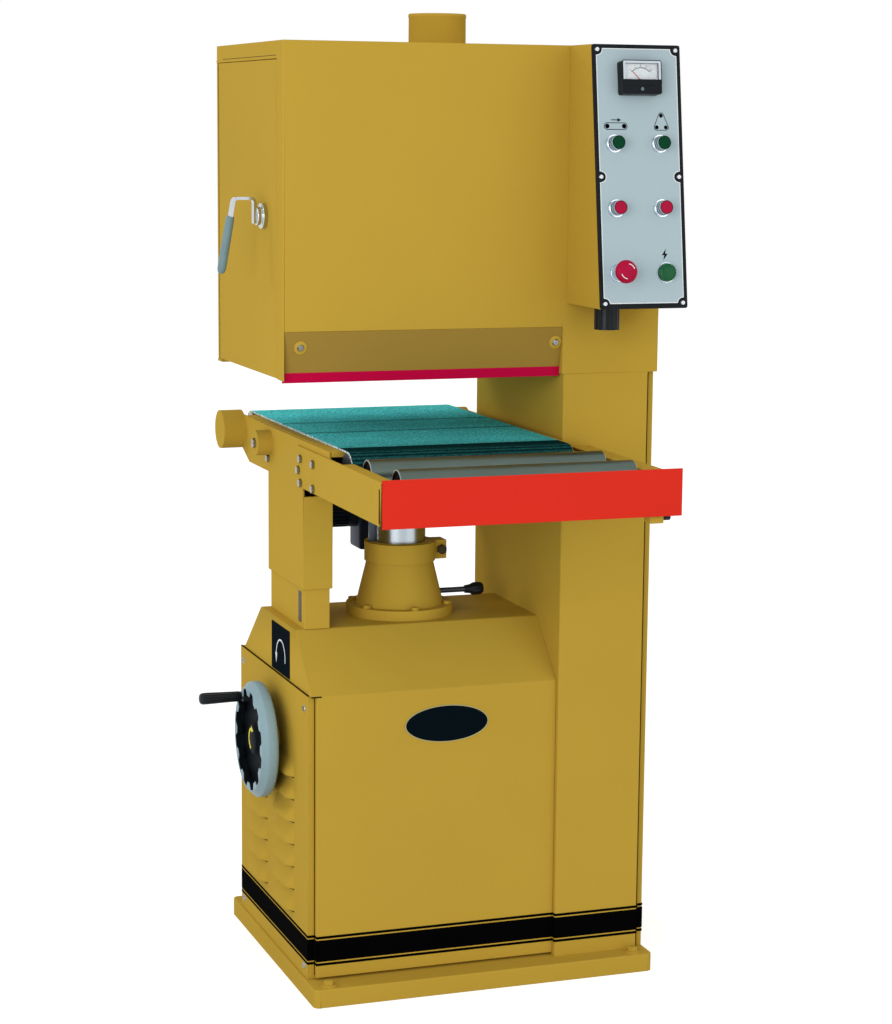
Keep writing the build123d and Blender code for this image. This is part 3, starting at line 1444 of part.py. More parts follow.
# Infeed rails: folded strips, the right one stands off on a spacer
with BuildPart() as infeed_rails:
    with Locations((rail_x_left, infeed_front_y, rail_low_z)):
        Box(rail_sheet, rail_rear_y - infeed_front_y, rail_h, align=corner)
    with Locations((rail_x_left, infeed_front_y, rail_top_z - rail_sheet)):
        Box(rail_sheet + left_flange, flange_rear_y - infeed_front_y, rail_sheet, align=corner)
    with Locations((rail_x_right - rail_sheet, infeed_front_y, rail_low_z)):
        Box(rail_sheet, spacer_y0 + spacer_d - infeed_front_y, rail_h, align=corner)
    with Locations((rail_x_right - right_flange, infeed_front_y, rail_top_z - rail_sheet)):
        Box(right_flange, spacer_y0 + spacer_d - infeed_front_y, rail_sheet, align=corner)
    with Locations((side_x1, spacer_y0, rail_low_z + spacer_margin)):
        Box(right_rail_out, spacer_d, rail_h - 2 * spacer_margin, align=corner)
    with Locations((rail_x_right - stop_block, infeed_front_y + stop_knob_r, rail_low_z - stop_block_h)):
        Box(stop_block, stop_block, stop_block_h, align=corner)
    with BuildSketch(Plane.YZ.offset(rail_x_left)):
        with Locations((infeed_y1, infeed_z), (infeed_y2, infeed_z)):
            Circle(infeed_axle_r + run_clear)
    extrude(amount=rail_x_right - rail_x_left, mode=Mode.SUBTRACT)
    with BuildSketch(Plane.YZ.offset(rail_x_left)):
        with Locations((rail_bolt_y, rail_bolt_z)):
            with GridLocations(rail_bolt_dy, rail_bolt_dz, 2, 2):
                Circle(small_r + bolt_clear)
        with Locations((end_bolt_y, rail_bolt_z)):
            Circle(small_r + bolt_clear)
    extrude(amount=rail_sheet, mode=Mode.SUBTRACT)
    with BuildSketch(Plane.YZ.offset(side_x1)):
        with Locations(*spacer_bolts):
            Circle(small_r + bolt_clear)
    extrude(amount=right_rail_out, mode=Mode.SUBTRACT)
    with BuildSketch(Plane.YZ.offset(rail_x_right - stop_pin_len)):
        with Locations(stop_spot):
            Circle(stop_knob_r / 2 + bolt_clear)
    extrude(amount=stop_pin_len, mode=Mode.SUBTRACT)
infeed_rails.part.label = "infeed_rails"
export_step(infeed_rails.part, "parts/infeed_rails.step")

# Front bar across the rails
with BuildPart() as front_bar:
    with Locations((side_x0, infeed_front_y - front_bar_t, rail_low_z - front_bar_low)):
        Box(rail_x_right + front_bar_over - side_x0, front_bar_t, front_bar_h, align=corner)
front_bar.part.label = "front_bar"
export_step(front_bar.part, "parts/front_bar.step")

# Free infeed rollers
with BuildPart() as infeed_roller_rear:
    with BuildSketch(Plane.YZ.offset(infeed_x0)):
        with Locations((infeed_y1, infeed_z)):
            Circle(infeed_r)
    extrude(amount=infeed_len)
    with BuildSketch(Plane.YZ.offset(rail_x_left)):
        with Locations((infeed_y1, infeed_z)):
            Circle(infeed_axle_r)
    extrude(amount=rail_x_right - rail_x_left)
infeed_roller_rear.part.label = "infeed_roller_rear"
export_step(infeed_roller_rear.part, "parts/infeed_roller_rear.step")

with BuildPart() as infeed_roller_front:
    with BuildSketch(Plane.YZ.offset(infeed_x0)):
        with Locations((infeed_y2, infeed_z)):
            Circle(infeed_r)
    extrude(amount=infeed_len)
    with BuildSketch(Plane.YZ.offset(rail_x_left)):
        with Locations((infeed_y2, infeed_z)):
            Circle(infeed_axle_r)
    extrude(amount=rail_x_right - rail_x_left)
infeed_roller_front.part.label = "infeed_roller_front"
export_step(infeed_roller_front.part, "parts/infeed_roller_front.step")

# Feed gearmotor hung under the saddle
feed_box_x0 = feed_x - feed_box_w / 2
with BuildPart() as feed_motor:
    with BuildSketch(Plane.YZ.offset(feed_box_x0 - feed_len)):
        with Locations((feed_out_y, feed_z)):
            Circle(feed_r)
    extrude(amount=feed_len)
    with Locations((feed_box_x0, feed_box_y0, feed_z - feed_box_low)):
        Box(feed_box_w, feed_box_d, 2 * feed_box_low, align=corner)
    with Locations((feed_box_x0, feed_box_y0, feed_z)):
        Box(feed_box_w, saddle_y1 - feed_box_y0, side_low_z - feed_z, align=corner)
    with BuildSketch(Plane.YZ.offset(feed_x)):
        with Locations((feed_out_y, feed_z)):
            Circle(feed_shaft_r + run_clear)
    extrude(amount=feed_box_w / 2, mode=Mode.SUBTRACT)
feed_motor.part.label = "feed_motor"
export_step(feed_motor.part, "parts/feed_motor.step")

# Output shaft of the gearmotor with its sprocket
with BuildPart() as feed_sprocket:
    with BuildSketch(Plane.YZ.offset(feed_x + end_gap)):
        with Locations((feed_out_y, feed_z)):
            Circle(feed_shaft_r)
    extrude(amount=sprocket_x + sprocket_w / 2 - feed_x - end_gap)
    with BuildSketch(Plane.YZ.offset(sprocket_x - sprocket_w / 2)):
        with Locations((feed_out_y, feed_z)):
            Circle(feed_sprocket_r)
    extrude(amount=sprocket_w)
feed_sprocket.part.label = "feed_sprocket"
export_step(feed_sprocket.part, "parts/feed_sprocket.step")

# Feed chain, a plain loop round both sprockets
with BuildPart() as feed_chain:
    with BuildSketch(Plane.YZ.offset(sprocket_x - chain_w / 2)):
        with Locations((conv_rear_y, conv_axis_z)):
            Circle(roller_sprocket_r + belt_clear + chain_t)
        with Locations((feed_out_y, feed_z)):
            Circle(feed_sprocket_r + belt_clear + chain_t)
        make_hull()
    extrude(amount=chain_w)
    with BuildSketch(Plane.YZ.offset(sprocket_x - chain_w / 2)):
        with Locations((conv_rear_y, conv_axis_z)):
            Circle(roller_sprocket_r + belt_clear)
        with Locations((feed_out_y, feed_z)):
            Circle(feed_sprocket_r + belt_clear)
        make_hull()
    extrude(amount=chain_w, mode=Mode.SUBTRACT)
feed_chain.part.label = "feed_chain"
export_step(feed_chain.part, "parts/feed_chain.step")

# Control box: wedge with an open front behind the panel
with BuildPart() as control_box:
    with BuildSketch(Plane.YZ.offset(box_x0)):
        with BuildLine():
            Polyline(
                (col_y0, box_low_z),
                (col_y0 - box_low_out, box_low_z),
                (col_y0 - box_top_out, head_z1),
                (col_y0, head_z1),
                close=True,
            )
        make_face()
    extrude(amount=box_w)
    with BuildSketch(Plane.YZ.offset(box_x0 + box_sheet)):
        with BuildLine():
            Polyline(
                (col_y0 - box_sheet, box_low_z + box_sheet),
                (col_y0 - box_low_out + 2 * box_sheet, box_low_z + box_sheet),
                (col_y0 - box_top_out + 2 * box_sheet, head_z1 - box_sheet),
                (col_y0 - box_sheet, head_z1 - box_sheet),
                close=True,
            )
        make_face()
    extrude(amount=box_w - 2 * box_sheet, mode=Mode.SUBTRACT)
    with BuildSketch(face_plane):
        Rectangle(box_w - 2 * box_lip, face_h - 2 * box_lip)
    extrude(amount=-3 * box_sheet, mode=Mode.SUBTRACT)
    with BuildSketch(face_plane):
        with Locations(*face_screws):
            Circle(screw_shank_r + bolt_clear)
    extrude(amount=-3 * box_sheet, mode=Mode.SUBTRACT)
    with BuildSketch(Plane.XY.offset(box_low_z)):
        with Locations((box_x0 + gland_u, col_y0 - gland_out)):
            Circle(gland_thread_r + bolt_clear)
    extrude(amount=box_sheet, mode=Mode.SUBTRACT)
control_box.part.label = "control_box"
export_step(control_box.part, "parts/control_box.step")

# Control panel plate
with BuildPart() as control_panel:
    with BuildSketch(face_plane):
        RectangleRounded(box_w, face_h, face_corner_r)
        with Locations(*start_spots, *stop_spots, estop_spot, lamp_spot):
            Circle(barrel_r + bolt_clear, mode=Mode.SUBTRACT)
        with Locations((0, meter_v)):
            Circle(meter_back_r + bolt_clear, mode=Mode.SUBTRACT)
        with Locations(*face_screws):
            Circle(screw_shank_r + bolt_clear, mode=Mode.SUBTRACT)
    extrude(amount=face_t)
control_panel.part.label = "control_panel"
export_step(control_panel.part, "parts/control_panel.step")

# Collars: chrome rings with the switch barrels behind the panel
with BuildPart() as button_collars:
    with BuildSketch(panel_face):
        with Locations(*start_spots, *stop_spots, estop_spot):
            Circle(collar_out_r)
    extrude(amount=button_collar_h)
    with BuildSketch(panel_face):
        with Locations(lamp_spot):
            Circle(lamp_collar_r)
    extrude(amount=lamp_collar_h)
    with BuildSketch(panel_face):
        with Locations(*start_spots, *stop_spots, estop_spot, lamp_spot):
            Circle(barrel_r)
    extrude(amount=-barrel_len)
    with BuildSketch(panel_face.offset(button_collar_h)):
        with Locations(*start_spots, *stop_spots):
            Circle(button_r + run_clear)
        with Locations(estop_spot):
            Circle(estop_stem_r + run_clear)
    extrude(amount=-(button_collar_h + button_deep + 2 * button_travel), mode=Mode.SUBTRACT)
button_collars.part.label = "button_collars"
export_step(button_collars.part, "parts/button_collars.step")

# Push buttons, one plunger each
with BuildPart() as feed_start_button:
    with BuildSketch(panel_face.offset(-button_deep)):
        with Locations(start_spots[0]):
            Circle(button_r)
    extrude(amount=button_deep + button_collar_h + button_out)
    fillet(feed_start_button.edges().filter_by(GeomType.CIRCLE), end_gap)
feed_start_button.part.label = "feed_start_button"
export_step(feed_start_button.part, "parts/feed_start_button.step")

with BuildPart() as belt_start_button:
    with BuildSketch(panel_face.offset(-button_deep)):
        with Locations(start_spots[1]):
            Circle(button_r)
    extrude(amount=button_deep + button_collar_h + button_out)
    fillet(belt_start_button.edges().filter_by(GeomType.CIRCLE), end_gap)
belt_start_button.part.label = "belt_start_button"
export_step(belt_start_button.part, "parts/belt_start_button.step")

with BuildPart() as feed_stop_button:
    with BuildSketch(panel_face.offset(-button_deep)):
        with Locations(stop_spots[0]):
            Circle(button_r)
    extrude(amount=button_deep + button_collar_h + button_out)
    fillet(feed_stop_button.edges().filter_by(GeomType.CIRCLE), end_gap)
feed_stop_button.part.label = "feed_stop_button"
export_step(feed_stop_button.part, "parts/feed_stop_button.step")

with BuildPart() as belt_stop_button:
    with BuildSketch(panel_face.offset(-button_deep)):
        with Locations(stop_spots[1]):
            Circle(button_r)
    extrude(amount=button_deep + button_collar_h + button_out)
    fillet(belt_stop_button.edges().filter_by(GeomType.CIRCLE), end_gap)
belt_stop_button.part.label = "belt_stop_button"
export_step(belt_stop_button.part, "parts/belt_stop_button.step")

# Emergency stop mushroom
with BuildPart() as emergency_stop:
    with BuildSketch(panel_face.offset(button_collar_h + estop_rise)):
        with Locations(estop_spot):
            Circle(mushroom_r)
    extrude(amount=mushroom_h)
    fillet(emergency_stop.edges().filter_by(GeomType.CIRCLE).sort_by(Axis.Y)[0], mushroom_h / 2)
    with BuildSketch(panel_face.offset(-button_deep)):
        with Locations(estop_spot):
            Circle(estop_stem_r)
    extrude(amount=button_deep + button_collar_h + estop_rise)
emergency_stop.part.label = "emergency_stop"
export_step(emergency_stop.part, "parts/emergency_stop.step")

# Pilot lamp lens
with BuildPart() as pilot_lamp:
    with BuildSketch(panel_face.offset(lamp_collar_h)):
        with Locations(lamp_spot):
            Circle(lamp_r)
    extrude(amount=lamp_h)
    fillet(pilot_lamp.edges().filter_by(GeomType.CIRCLE).sort_by(Axis.Y)[0], lamp_h / 2)
pilot_lamp.part.label = "pilot_lamp"
export_step(pilot_lamp.part, "parts/pilot_lamp.step")

# Load meter case with its window and needle bearing
with BuildPart() as meter_case:
    with BuildSketch(panel_face):
        with Locations((0, meter_v)):
            RectangleRounded(meter_w, meter_h, face_corner_r)
    extrude(amount=meter_out)
    with BuildSketch(panel_face):
        with Locations((0, meter_v)):
            Circle(meter_back_r)
    extrude(amount=-(face_t + meter_back_len))
    with BuildSketch(panel_face.offset(window_floor)):
        with Locations((0, window_mid_v)):
            Rectangle(window_w, window_h)
    extrude(amount=window_deep, mode=Mode.SUBTRACT)
    with BuildSketch(panel_face.offset(window_floor)):
        with Locations((0, pivot_v)):
            Circle(needle_pin_r + run_clear)
    extrude(amount=-needle_pin_deep, mode=Mode.SUBTRACT)
meter_case.part.label = "meter_case"
export_step(meter_case.part, "parts/meter_case.step")

# Meter glass
with BuildPart() as meter_glass:
    with BuildSketch(panel_face.offset(meter_out - glass_t)):
        with Locations((0, window_mid_v)):
            Rectangle(window_w - 2 * bolt_clear, window_h - 2 * bolt_clear)
    extrude(amount=glass_t)
meter_glass.part.label = "meter_glass"
export_step(meter_glass.part, "parts/meter_glass.step")

# Meter needle on its pin, resting at zero on the left
with BuildPart() as meter_needle:
    with BuildSketch(panel_face.offset(window_floor - needle_pin_deep)):
        with Locations((0, pivot_v)):
            Circle(needle_pin_r)
    extrude(amount=needle_pin_deep + needle_lift)
    with BuildSketch(panel_face.offset(window_floor + needle_lift)):
        with Locations(Location((0, pivot_v), needle_angle)):
            Circle(2 * needle_pin_r)
            Rectangle(needle_len, needle_w, align=(Align.MIN, Align.CENTER))
    extrude(amount=needle_t)
meter_needle.part.label = "meter_needle"
export_step(meter_needle.part, "parts/meter_needle.step")

# Cable gland under the control box
gland_x = box_x0 + gland_u
gland_y = col_y0 - gland_out
with BuildPart() as cable_gland:
    with BuildSketch(Plane.XY.offset(box_low_z - gland_len)):
        with Locations((gland_x, gland_y)):
            Circle(gland_r)
            with PolarLocations(gland_r, gland_ribs):
                Circle(gland_rib, mode=Mode.SUBTRACT)
    extrude(amount=gland_len)
    with BuildSketch(Plane.XY.offset(box_low_z)):
        with Locations((gland_x, gland_y)):
            Circle(gland_thread_r)
    extrude(amount=gland_thread_len)
    with BuildSketch(Plane.XY.offset(box_low_z - gland_len)):
        with Locations((gland_x, gland_y)):
            Circle(gland_bore_r)
    extrude(amount=gland_len + gland_thread_len, mode=Mode.SUBTRACT)
cable_gland.part.label = "cable_gland"
export_step(cable_gland.part, "parts/cable_gland.step")

# Hex bolts: base corners with washers, pedestal flange and clamp collar
with BuildPart() as hex_bolts:
    with BuildSketch(Plane.XY.offset(base_h)):
        with GridLocations(base_w - 2 * base_bolt_inset_x, base_d - 2 * base_bolt_inset_y, 2, 2):
            Circle(washer_r)
    extrude(amount=washer_t)
    with BuildSketch(Plane.XY.offset(base_h + washer_t)):
        with GridLocations(base_w - 2 * base_bolt_inset_x, base_d - 2 * base_bolt_inset_y, 2, 2):
            RegularPolygon(bolt_af / 2, 6, major_radius=False)
    extrude(amount=bolt_head)
    with BuildSketch(Plane.XY.offset(base_h)):
        with GridLocations(base_w - 2 * base_bolt_inset_x, base_d - 2 * base_bolt_inset_y, 2, 2):
            Circle(bolt_r)
    extrude(amount=-bolt_len)
    with BuildSketch(Plane.XY.offset(deck_z + flange_t)):
        with Locations((lift_x, lift_y)):
            with PolarLocations(pedestal_bolt_r, pedestal_bolts_n, start_angle=180 / pedestal_bolts_n):
                RegularPolygon(small_af / 2, 6, major_radius=False)
    extrude(amount=small_head)
    with BuildSketch(Plane.XY.offset(deck_z + flange_t)):
        with Locations((lift_x, lift_y)):
            with PolarLocations(pedestal_bolt_r, pedestal_bolts_n, start_angle=180 / pedestal_bolts_n):
                Circle(small_r)
    extrude(amount=-(flange_t + sheet + bracket_t))
    with BuildSketch(Plane.XZ.offset(-lift_y + ear_w / 2)):
        with Locations((ear_mid_x, clamp_z)):
            RegularPolygon(bolt_af / 2, 6, major_radius=False)
    extrude(amount=bolt_head)
    with BuildSketch(Plane.XZ.offset(-lift_y + ear_w / 2)):
        with Locations((ear_mid_x, clamp_z)):
            Circle(clamp_bolt_r)
    extrude(amount=-ear_w)
hex_bolts.part.label = "hex_bolts"
export_step(hex_bolts.part, "parts/hex_bolts.step")

# Machine screws: control panel, side panel, column cover and guard strips
with BuildPart() as machine_screws:
    with BuildSketch(panel_face):
        with Locations(*face_screws):
            Circle(screw_head_r)
    extrude(amount=screw_head_h)
    with BuildSketch(panel_face):
        with Locations(*face_screws):
            Circle(screw_shank_r)
    extrude(amount=-(face_t + 3 * box_sheet))
    with BuildSketch(Plane.YZ.offset(panel_x0)):
        with Locations(((cab_y0 + cab_y1) / 2, (base_h + seam_z) / 2)):
            with GridLocations(cab_d - 2 * cover_screw_inset, cab_h - 2 * cover_screw_inset, 2, 2):
                Circle(screw_head_r)
    extrude(amount=-screw_head_h)
    with BuildSketch(Plane.YZ.offset(panel_x0)):
        with Locations(((cab_y0 + cab_y1) / 2, (base_h + seam_z) / 2)):
            with GridLocations(cab_d - 2 * cover_screw_inset, cab_h - 2 * cover_screw_inset, 2, 2):
                Circle(screw_shank_r)
    extrude(amount=panel_t + 2 * sheet)
    with BuildSketch(Plane.YZ.offset(col_x1 + col_cover_t)):
        with Locations((head_mid_y, base_h + col_h / 2)):
            with GridLocations(cover_screw_dy, cover_screw_dz, 2, 3):
                Circle(screw_head_r)
    extrude(amount=screw_head_h)
    with BuildSketch(Plane.YZ.offset(col_x1 + col_cover_t)):
        with Locations((head_mid_y, base_h + col_h / 2)):
            with GridLocations(cover_screw_dy, cover_screw_dz, 2, 3):
                Circle(screw_shank_r)
    extrude(amount=-(col_cover_t + 2 * sheet))
    for guard_plane in (front_guard_plane, rear_guard_plane):
        with BuildSketch(guard_plane):
            with Locations(*[(x, 0) for x in guard_screw_xs]):
                Circle(guard_washer_r)
        extrude(amount=guard_washer_t)
        with BuildSketch(guard_plane.offset(guard_washer_t)):
            with Locations(*[(x, 0) for x in guard_screw_xs]):
                Circle(screw_head_r)
        extrude(amount=screw_head_h)
        with BuildSketch(guard_plane):
            with Locations(*[(x, 0) for x in guard_screw_xs]):
                Circle(screw_shank_r)
        extrude(amount=-2 * sheet)
machine_screws.part.label = "machine_screws"
export_step(machine_screws.part, "parts/machine_screws.step")

# Table bolts: rail bolts, tie boss bolt and the stop knob
with BuildPart() as table_bolts:
    with BuildSketch(Plane.YZ.offset(rail_x_left)):
        with Locations((rail_bolt_y, rail_bolt_z)):
            with GridLocations(rail_bolt_dy, rail_bolt_dz, 2, 2):
                RegularPolygon(small_af / 2, 6, major_radius=False)
        with Locations((end_bolt_y, rail_bolt_z)):
            RegularPolygon(small_af / 2, 6, major_radius=False)
    extrude(amount=-small_head)
    with BuildSketch(Plane.YZ.offset(rail_x_left)):
        with Locations((rail_bolt_y, rail_bolt_z)):
            with GridLocations(rail_bolt_dy, rail_bolt_dz, 2, 2):
                Circle(small_r)
        with Locations((end_bolt_y, rail_bolt_z)):
            Circle(small_r)
    extrude(amount=rail_sheet + side_t)
    with BuildSketch(Plane.YZ.offset(side_x0 - tie_len)):
        with Locations((tie_y, tie_z)):
            RegularPolygon(bolt_af / 2, 6, major_radius=False)
    extrude(amount=-small_head)
    with BuildSketch(Plane.YZ.offset(side_x0 - tie_len)):
        with Locations((tie_y, tie_z)):
            Circle(small_r)
    extrude(amount=tie_len)
    with BuildSketch(Plane.YZ.offset(side_x0)):
        with Locations((low_bolt_y, low_bolt_z)):
            RegularPolygon(small_af / 2, 6, major_radius=False)
    extrude(amount=-small_head)
    with BuildSketch(Plane.YZ.offset(side_x0)):
        with Locations((low_bolt_y, low_bolt_z)):
            Circle(small_r)
    extrude(amount=side_t)
    with BuildSketch(Plane.YZ.offset(rail_x_right)):
        with Locations(*spacer_bolts):
            RegularPolygon(small_af / 2, 6, major_radius=False)
    extrude(amount=small_head)
    with BuildSketch(Plane.YZ.offset(rail_x_right)):
        with Locations(*spacer_bolts):
            Circle(small_r)
    extrude(amount=-(right_rail_out + side_t))
    with BuildSketch(Plane.YZ.offset(rail_x_right)):
        with Locations(stop_spot):
            Circle(stop_knob_r)
    extrude(amount=stop_knob_len - stop_pin_len)
    with BuildSketch(Plane.YZ.offset(rail_x_right)):
        with Locations(stop_spot):
            Circle(stop_knob_r / 2)
    extrude(amount=-stop_pin_len)
table_bolts.part.label = "table_bolts"
export_step(table_bolts.part, "parts/table_bolts.step")
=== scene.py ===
import json
from math import acos, atan2, cos, hypot, pi, radians, sin, tau

import bmesh
import bpy
from bpy.props import FloatProperty, FloatVectorProperty, IntProperty, PointerProperty
from mathutils import Matrix, Vector

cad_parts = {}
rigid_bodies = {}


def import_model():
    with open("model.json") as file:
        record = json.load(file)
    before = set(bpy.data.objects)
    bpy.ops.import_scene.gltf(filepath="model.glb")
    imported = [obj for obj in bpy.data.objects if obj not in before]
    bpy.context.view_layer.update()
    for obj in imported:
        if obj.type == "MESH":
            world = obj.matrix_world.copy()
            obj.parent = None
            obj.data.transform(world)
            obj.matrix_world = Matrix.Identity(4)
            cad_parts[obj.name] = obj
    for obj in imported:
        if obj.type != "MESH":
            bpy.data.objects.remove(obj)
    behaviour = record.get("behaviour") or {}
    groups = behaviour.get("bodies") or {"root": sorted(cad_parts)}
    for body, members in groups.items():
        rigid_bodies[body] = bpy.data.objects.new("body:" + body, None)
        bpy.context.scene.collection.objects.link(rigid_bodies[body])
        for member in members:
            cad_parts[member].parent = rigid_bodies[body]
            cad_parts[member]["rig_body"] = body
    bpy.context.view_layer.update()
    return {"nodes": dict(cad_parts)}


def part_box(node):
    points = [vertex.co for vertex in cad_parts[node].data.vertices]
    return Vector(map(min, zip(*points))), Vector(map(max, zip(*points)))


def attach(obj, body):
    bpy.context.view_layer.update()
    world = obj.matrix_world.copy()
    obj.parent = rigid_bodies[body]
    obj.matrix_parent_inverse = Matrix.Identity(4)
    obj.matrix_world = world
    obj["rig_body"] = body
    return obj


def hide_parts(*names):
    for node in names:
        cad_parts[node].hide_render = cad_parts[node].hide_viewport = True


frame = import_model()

bl_info = {
    "name": "Open-end belt sander",
    "version": (1, 0, 0),
    "blender": (4, 5, 0),
    "location": "View3D > Sidebar > Sander",
    "description": "Dresses the packed belt sander with its paint, belts, controls and trim",
    "category": "Object",
}

# Directions of the shared frame. All lengths are metres.
UP = Vector((0.0, 0.0, 1.0))
LEFT = Vector((-1.0, 0.0, 0.0))
RIGHT = Vector((1.0, 0.0, 0.0))
FRONT = Vector((0.0, -1.0, 0.0))

# Camera: angles in radians, lens and film width in millimetres.
CAMERA_SPOT = (-1.5065, -4.2450, 1.5351)
CAMERA_YAW, CAMERA_PITCH, CAMERA_ROLL = 0.3438, 0.15655, 0.0091
CAMERA_LENS, CAMERA_FILM, CAMERA_REACH = 86.78, 36.0, 50.0

# Lamps by setting, spot and size, the point they aim at, and the floor.
LAMPS = (("key", (-2.9, -3.4, 1.75), 2.4), ("fill", (2.2, -4.0, 1.7), 3.0), ("side", (-3.0, 1.5, 2.2), 0.7))
LAMP_AIM = Vector((0.0, 0.0, 0.9))
FLOOR_REACH, FLOOR_GLOW = 14.0, 0.62

# Mesh work: shading and fold angles in degrees, merge distance of CAD corners.
SHARP_ANGLE, FOLD_ANGLE, FLAT_ANGLE = 35.0, 40.0, 0.4
MERGE_DISTANCE = 2e-5

# Plates and the control face: U to the right and V up from the middle of the face.
PLATE = 0.003
FACE_W, FACE_RUN, FACE_RISE, FACE_SCREW_IN = 0.1625, 0.058, 0.444, 0.009
FACE_H = hypot(FACE_RUN, FACE_RISE)
FACE_SCREW_U, FACE_SCREW_V = FACE_W / 2 - FACE_SCREW_IN, FACE_H / 2 - FACE_SCREW_IN
FEED_U, BELT_U, LAMP_U = -0.0468, 0.0378, 0.0423
START_V, STOP_V, ESTOP_V = 0.056, -0.0535, -0.163
BEZEL_OUT, METER_OUT, WINDOW_FLOOR = 0.0222, 0.022, 0.016
DIAL_V, PIVOT_V, ZERO_V = 0.173, 0.160, 0.146
SCALE_R, SCALE_START, SCALE_SWEEP = 0.0222, 135.0, 90.0

# Cabinet: louvres, the seam under the hood, and the lean of the guard strips.
LOUVRE = {"Length": 0.124, "Height": 0.033, "Out": 0.012}
LOUVRE_ROWS, LOUVRE_PITCH, LOUVRE_LOW, LOUVRE_END = 7, 0.0414, 0.146, 0.026
LOUVRE_COLUMNS = (-0.074, 0.104)
SKIRT_IN = 0.010
SEAM_LOW, SEAM_HIGH = 0.5464, 0.5473
GUARD_LEAN, GUARD_TALL = 0.016, 0.088

# Handwheel, table and feed drive.
WHEEL_BACK = -0.342
HUB_FACE = 0.0228
# Belt bands by middle, half width and depth along the run: the first and last are painted shade over the
# front wrap, the two thin ones darken the belt across its width.
BELT_BANDS = [(-0.03, 0.078, 0.96), (0.252, 0.0095, 0.6), (0.396, 0.0095, 0.5), (1.385, 0.06, 0.98)]
BELT_THICK, BELT_LIP = 0.003, 0.0007
ROLLER_ENDS = {"infeed_roller_rear": (-0.279, 0.138), "infeed_roller_front": (-0.269, 0.141)}
FEED_Z, FEED_SADDLE_Y = 0.800, 0.205
GEARBOX_W, GEARBOX_H = 0.060, 0.138
SPACER_Y, RAIL_Z, RAIL_BOLT_RISE = -0.2765, 0.932, 0.010625
LINK_PITCH, CHAIN_OUT = 0.008, 0.0032
LATCH_X, LATCH_Z, LATCH_SPLAY = -0.4285, 1.374, 10.0

# Fasteners: head heights, corner radius of a hexagon by its width, slope of its turned corners.
SCREW_H, BOLT_H, SMALL_BOLT_H = 0.0025, 0.007, 0.0055
FACE_SCREW_SHARE, PANEL_SCREW_SHARE = 0.9, 1.25
WASHER = {"Radius": 0.0115, "Height": 0.0015}
ANCHOR_WASHER = {"Radius": 0.0145, "Height": 0.0025}
HEX_CORNER, HEX_SLOPE = 0.57735, 1.732
FLANGE_BOLTS, FLANGE_BOLT_R, FLANGE_Z = 6, 0.089, 0.665


def tone(red, green, blue):
    """Linear colour for screen values from 0 to 255."""
    parts = [c / 255 for c in (red, green, blue)]
    return tuple(c / 12.92 if c <= 0.04045 else ((c + 0.055) / 1.055) ** 2.4 for c in parts)


def colour(name, words, *screen):
    """Colour property with its default given in screen values."""
    return FloatVectorProperty(
        name=name, description=words, subtype="COLOR", size=3, min=0.0, max=1.0, default=tone(*screen)
    )


def length(name, words, metres):
    """Length property in metres."""
    return FloatProperty(
        name=name, description=words, subtype="DISTANCE", unit="LENGTH", min=0.0, default=metres, precision=4
    )


def power(name, words, watts):
    """Lamp power property in watts."""
    return FloatProperty(name=name, description=words, unit="POWER", min=0.0, default=watts)


class SanderColours(bpy.types.PropertyGroup):
    body: colour("Body", "Paint of the cabinet, column, head and table frame", 187, 154, 58)
    front_bar: colour("Front bar", "Paint of the bar across the infeed", 215, 46, 32)
    # The guard strips carry the body paint; this darker tone is painted shade for their downward lean.
    guard: colour("Guard strips", "Paint of the leaning guard strips", 155, 126, 56)
    guard_band: colour("Guard band", "Band along the foot of the front guard", 190, 6, 62)
    stripe: colour("Stripes", "Bands round the foot of the cabinet", 5, 5, 6)
    conveyor: colour("Conveyor belt", "Cover of the feed belt", 96, 244, 247)
    wheel_rim: colour("Handwheel rim", "Coating of the handwheel rim", 134, 160, 168)
    panel: colour("Control face", "Face plate of the control box", 170, 189, 195)
    motor: colour("Feed motor", "Paint of the feed gearmotor", 20, 32, 58)
    start: colour("Start buttons", "Plungers of the two start buttons", 8, 64, 38)
    stop: colour("Stop buttons", "Plungers of the stop buttons and the mushroom", 170, 16, 56)
    abrasive: colour("Abrasive", "Grit side of the sanding belt", 120, 62, 40)


class SanderTrim(bpy.types.PropertyGroup):
    edge: length("Folded edge", "Rounding of folded and cut sheet edges", 0.0012)
    stripe_low: length("Stripe foot", "Height of the foot of the broad stripe", 0.0672)
    stripe_height: length("Stripe height", "Height of the broad stripe", 0.0392)
    pinstripe: length("Pinstripe", "Height of the fine stripes", 0.0046)
    pinstripe_gap: length("Pinstripe gap", "Paint left between broad and fine stripes", 0.0026)
    guard_band: length("Guard band", "Height of the band on the front guard", 0.018)
    panel_border: length("Panel border", "Black border left round the control face", 0.0075)
    screw_head: length("Screw head", "Radius of the cross-head screws", 0.005)
    bolt_width: length("Bolt width", "Width across flats of the large bolts", 0.016)
    small_bolt_width: length("Small bolt width", "Width across flats of the small bolts", 0.013)
    scallops: IntProperty(name="Scallops", description="Finger hollows of the handwheel", min=3, default=12)
    fins: IntProperty(name="Fins", description="Cooling fins of the feed motor", min=6, default=22)


class SanderStage(bpy.types.PropertyGroup):
    ambient: FloatProperty(name="Ambient", description="Light of the room", min=0.0, default=0.74)
    key: power("Key", "Power of the soft box at the left", 70.0)
    fill: power("Fill", "Power of the soft box at the right", 24.0)
    side: power("Side", "Power of the lamp behind the left side", 12.0)
    floor: colour("Floor", "Pale floor under the machine", 214, 214, 214)


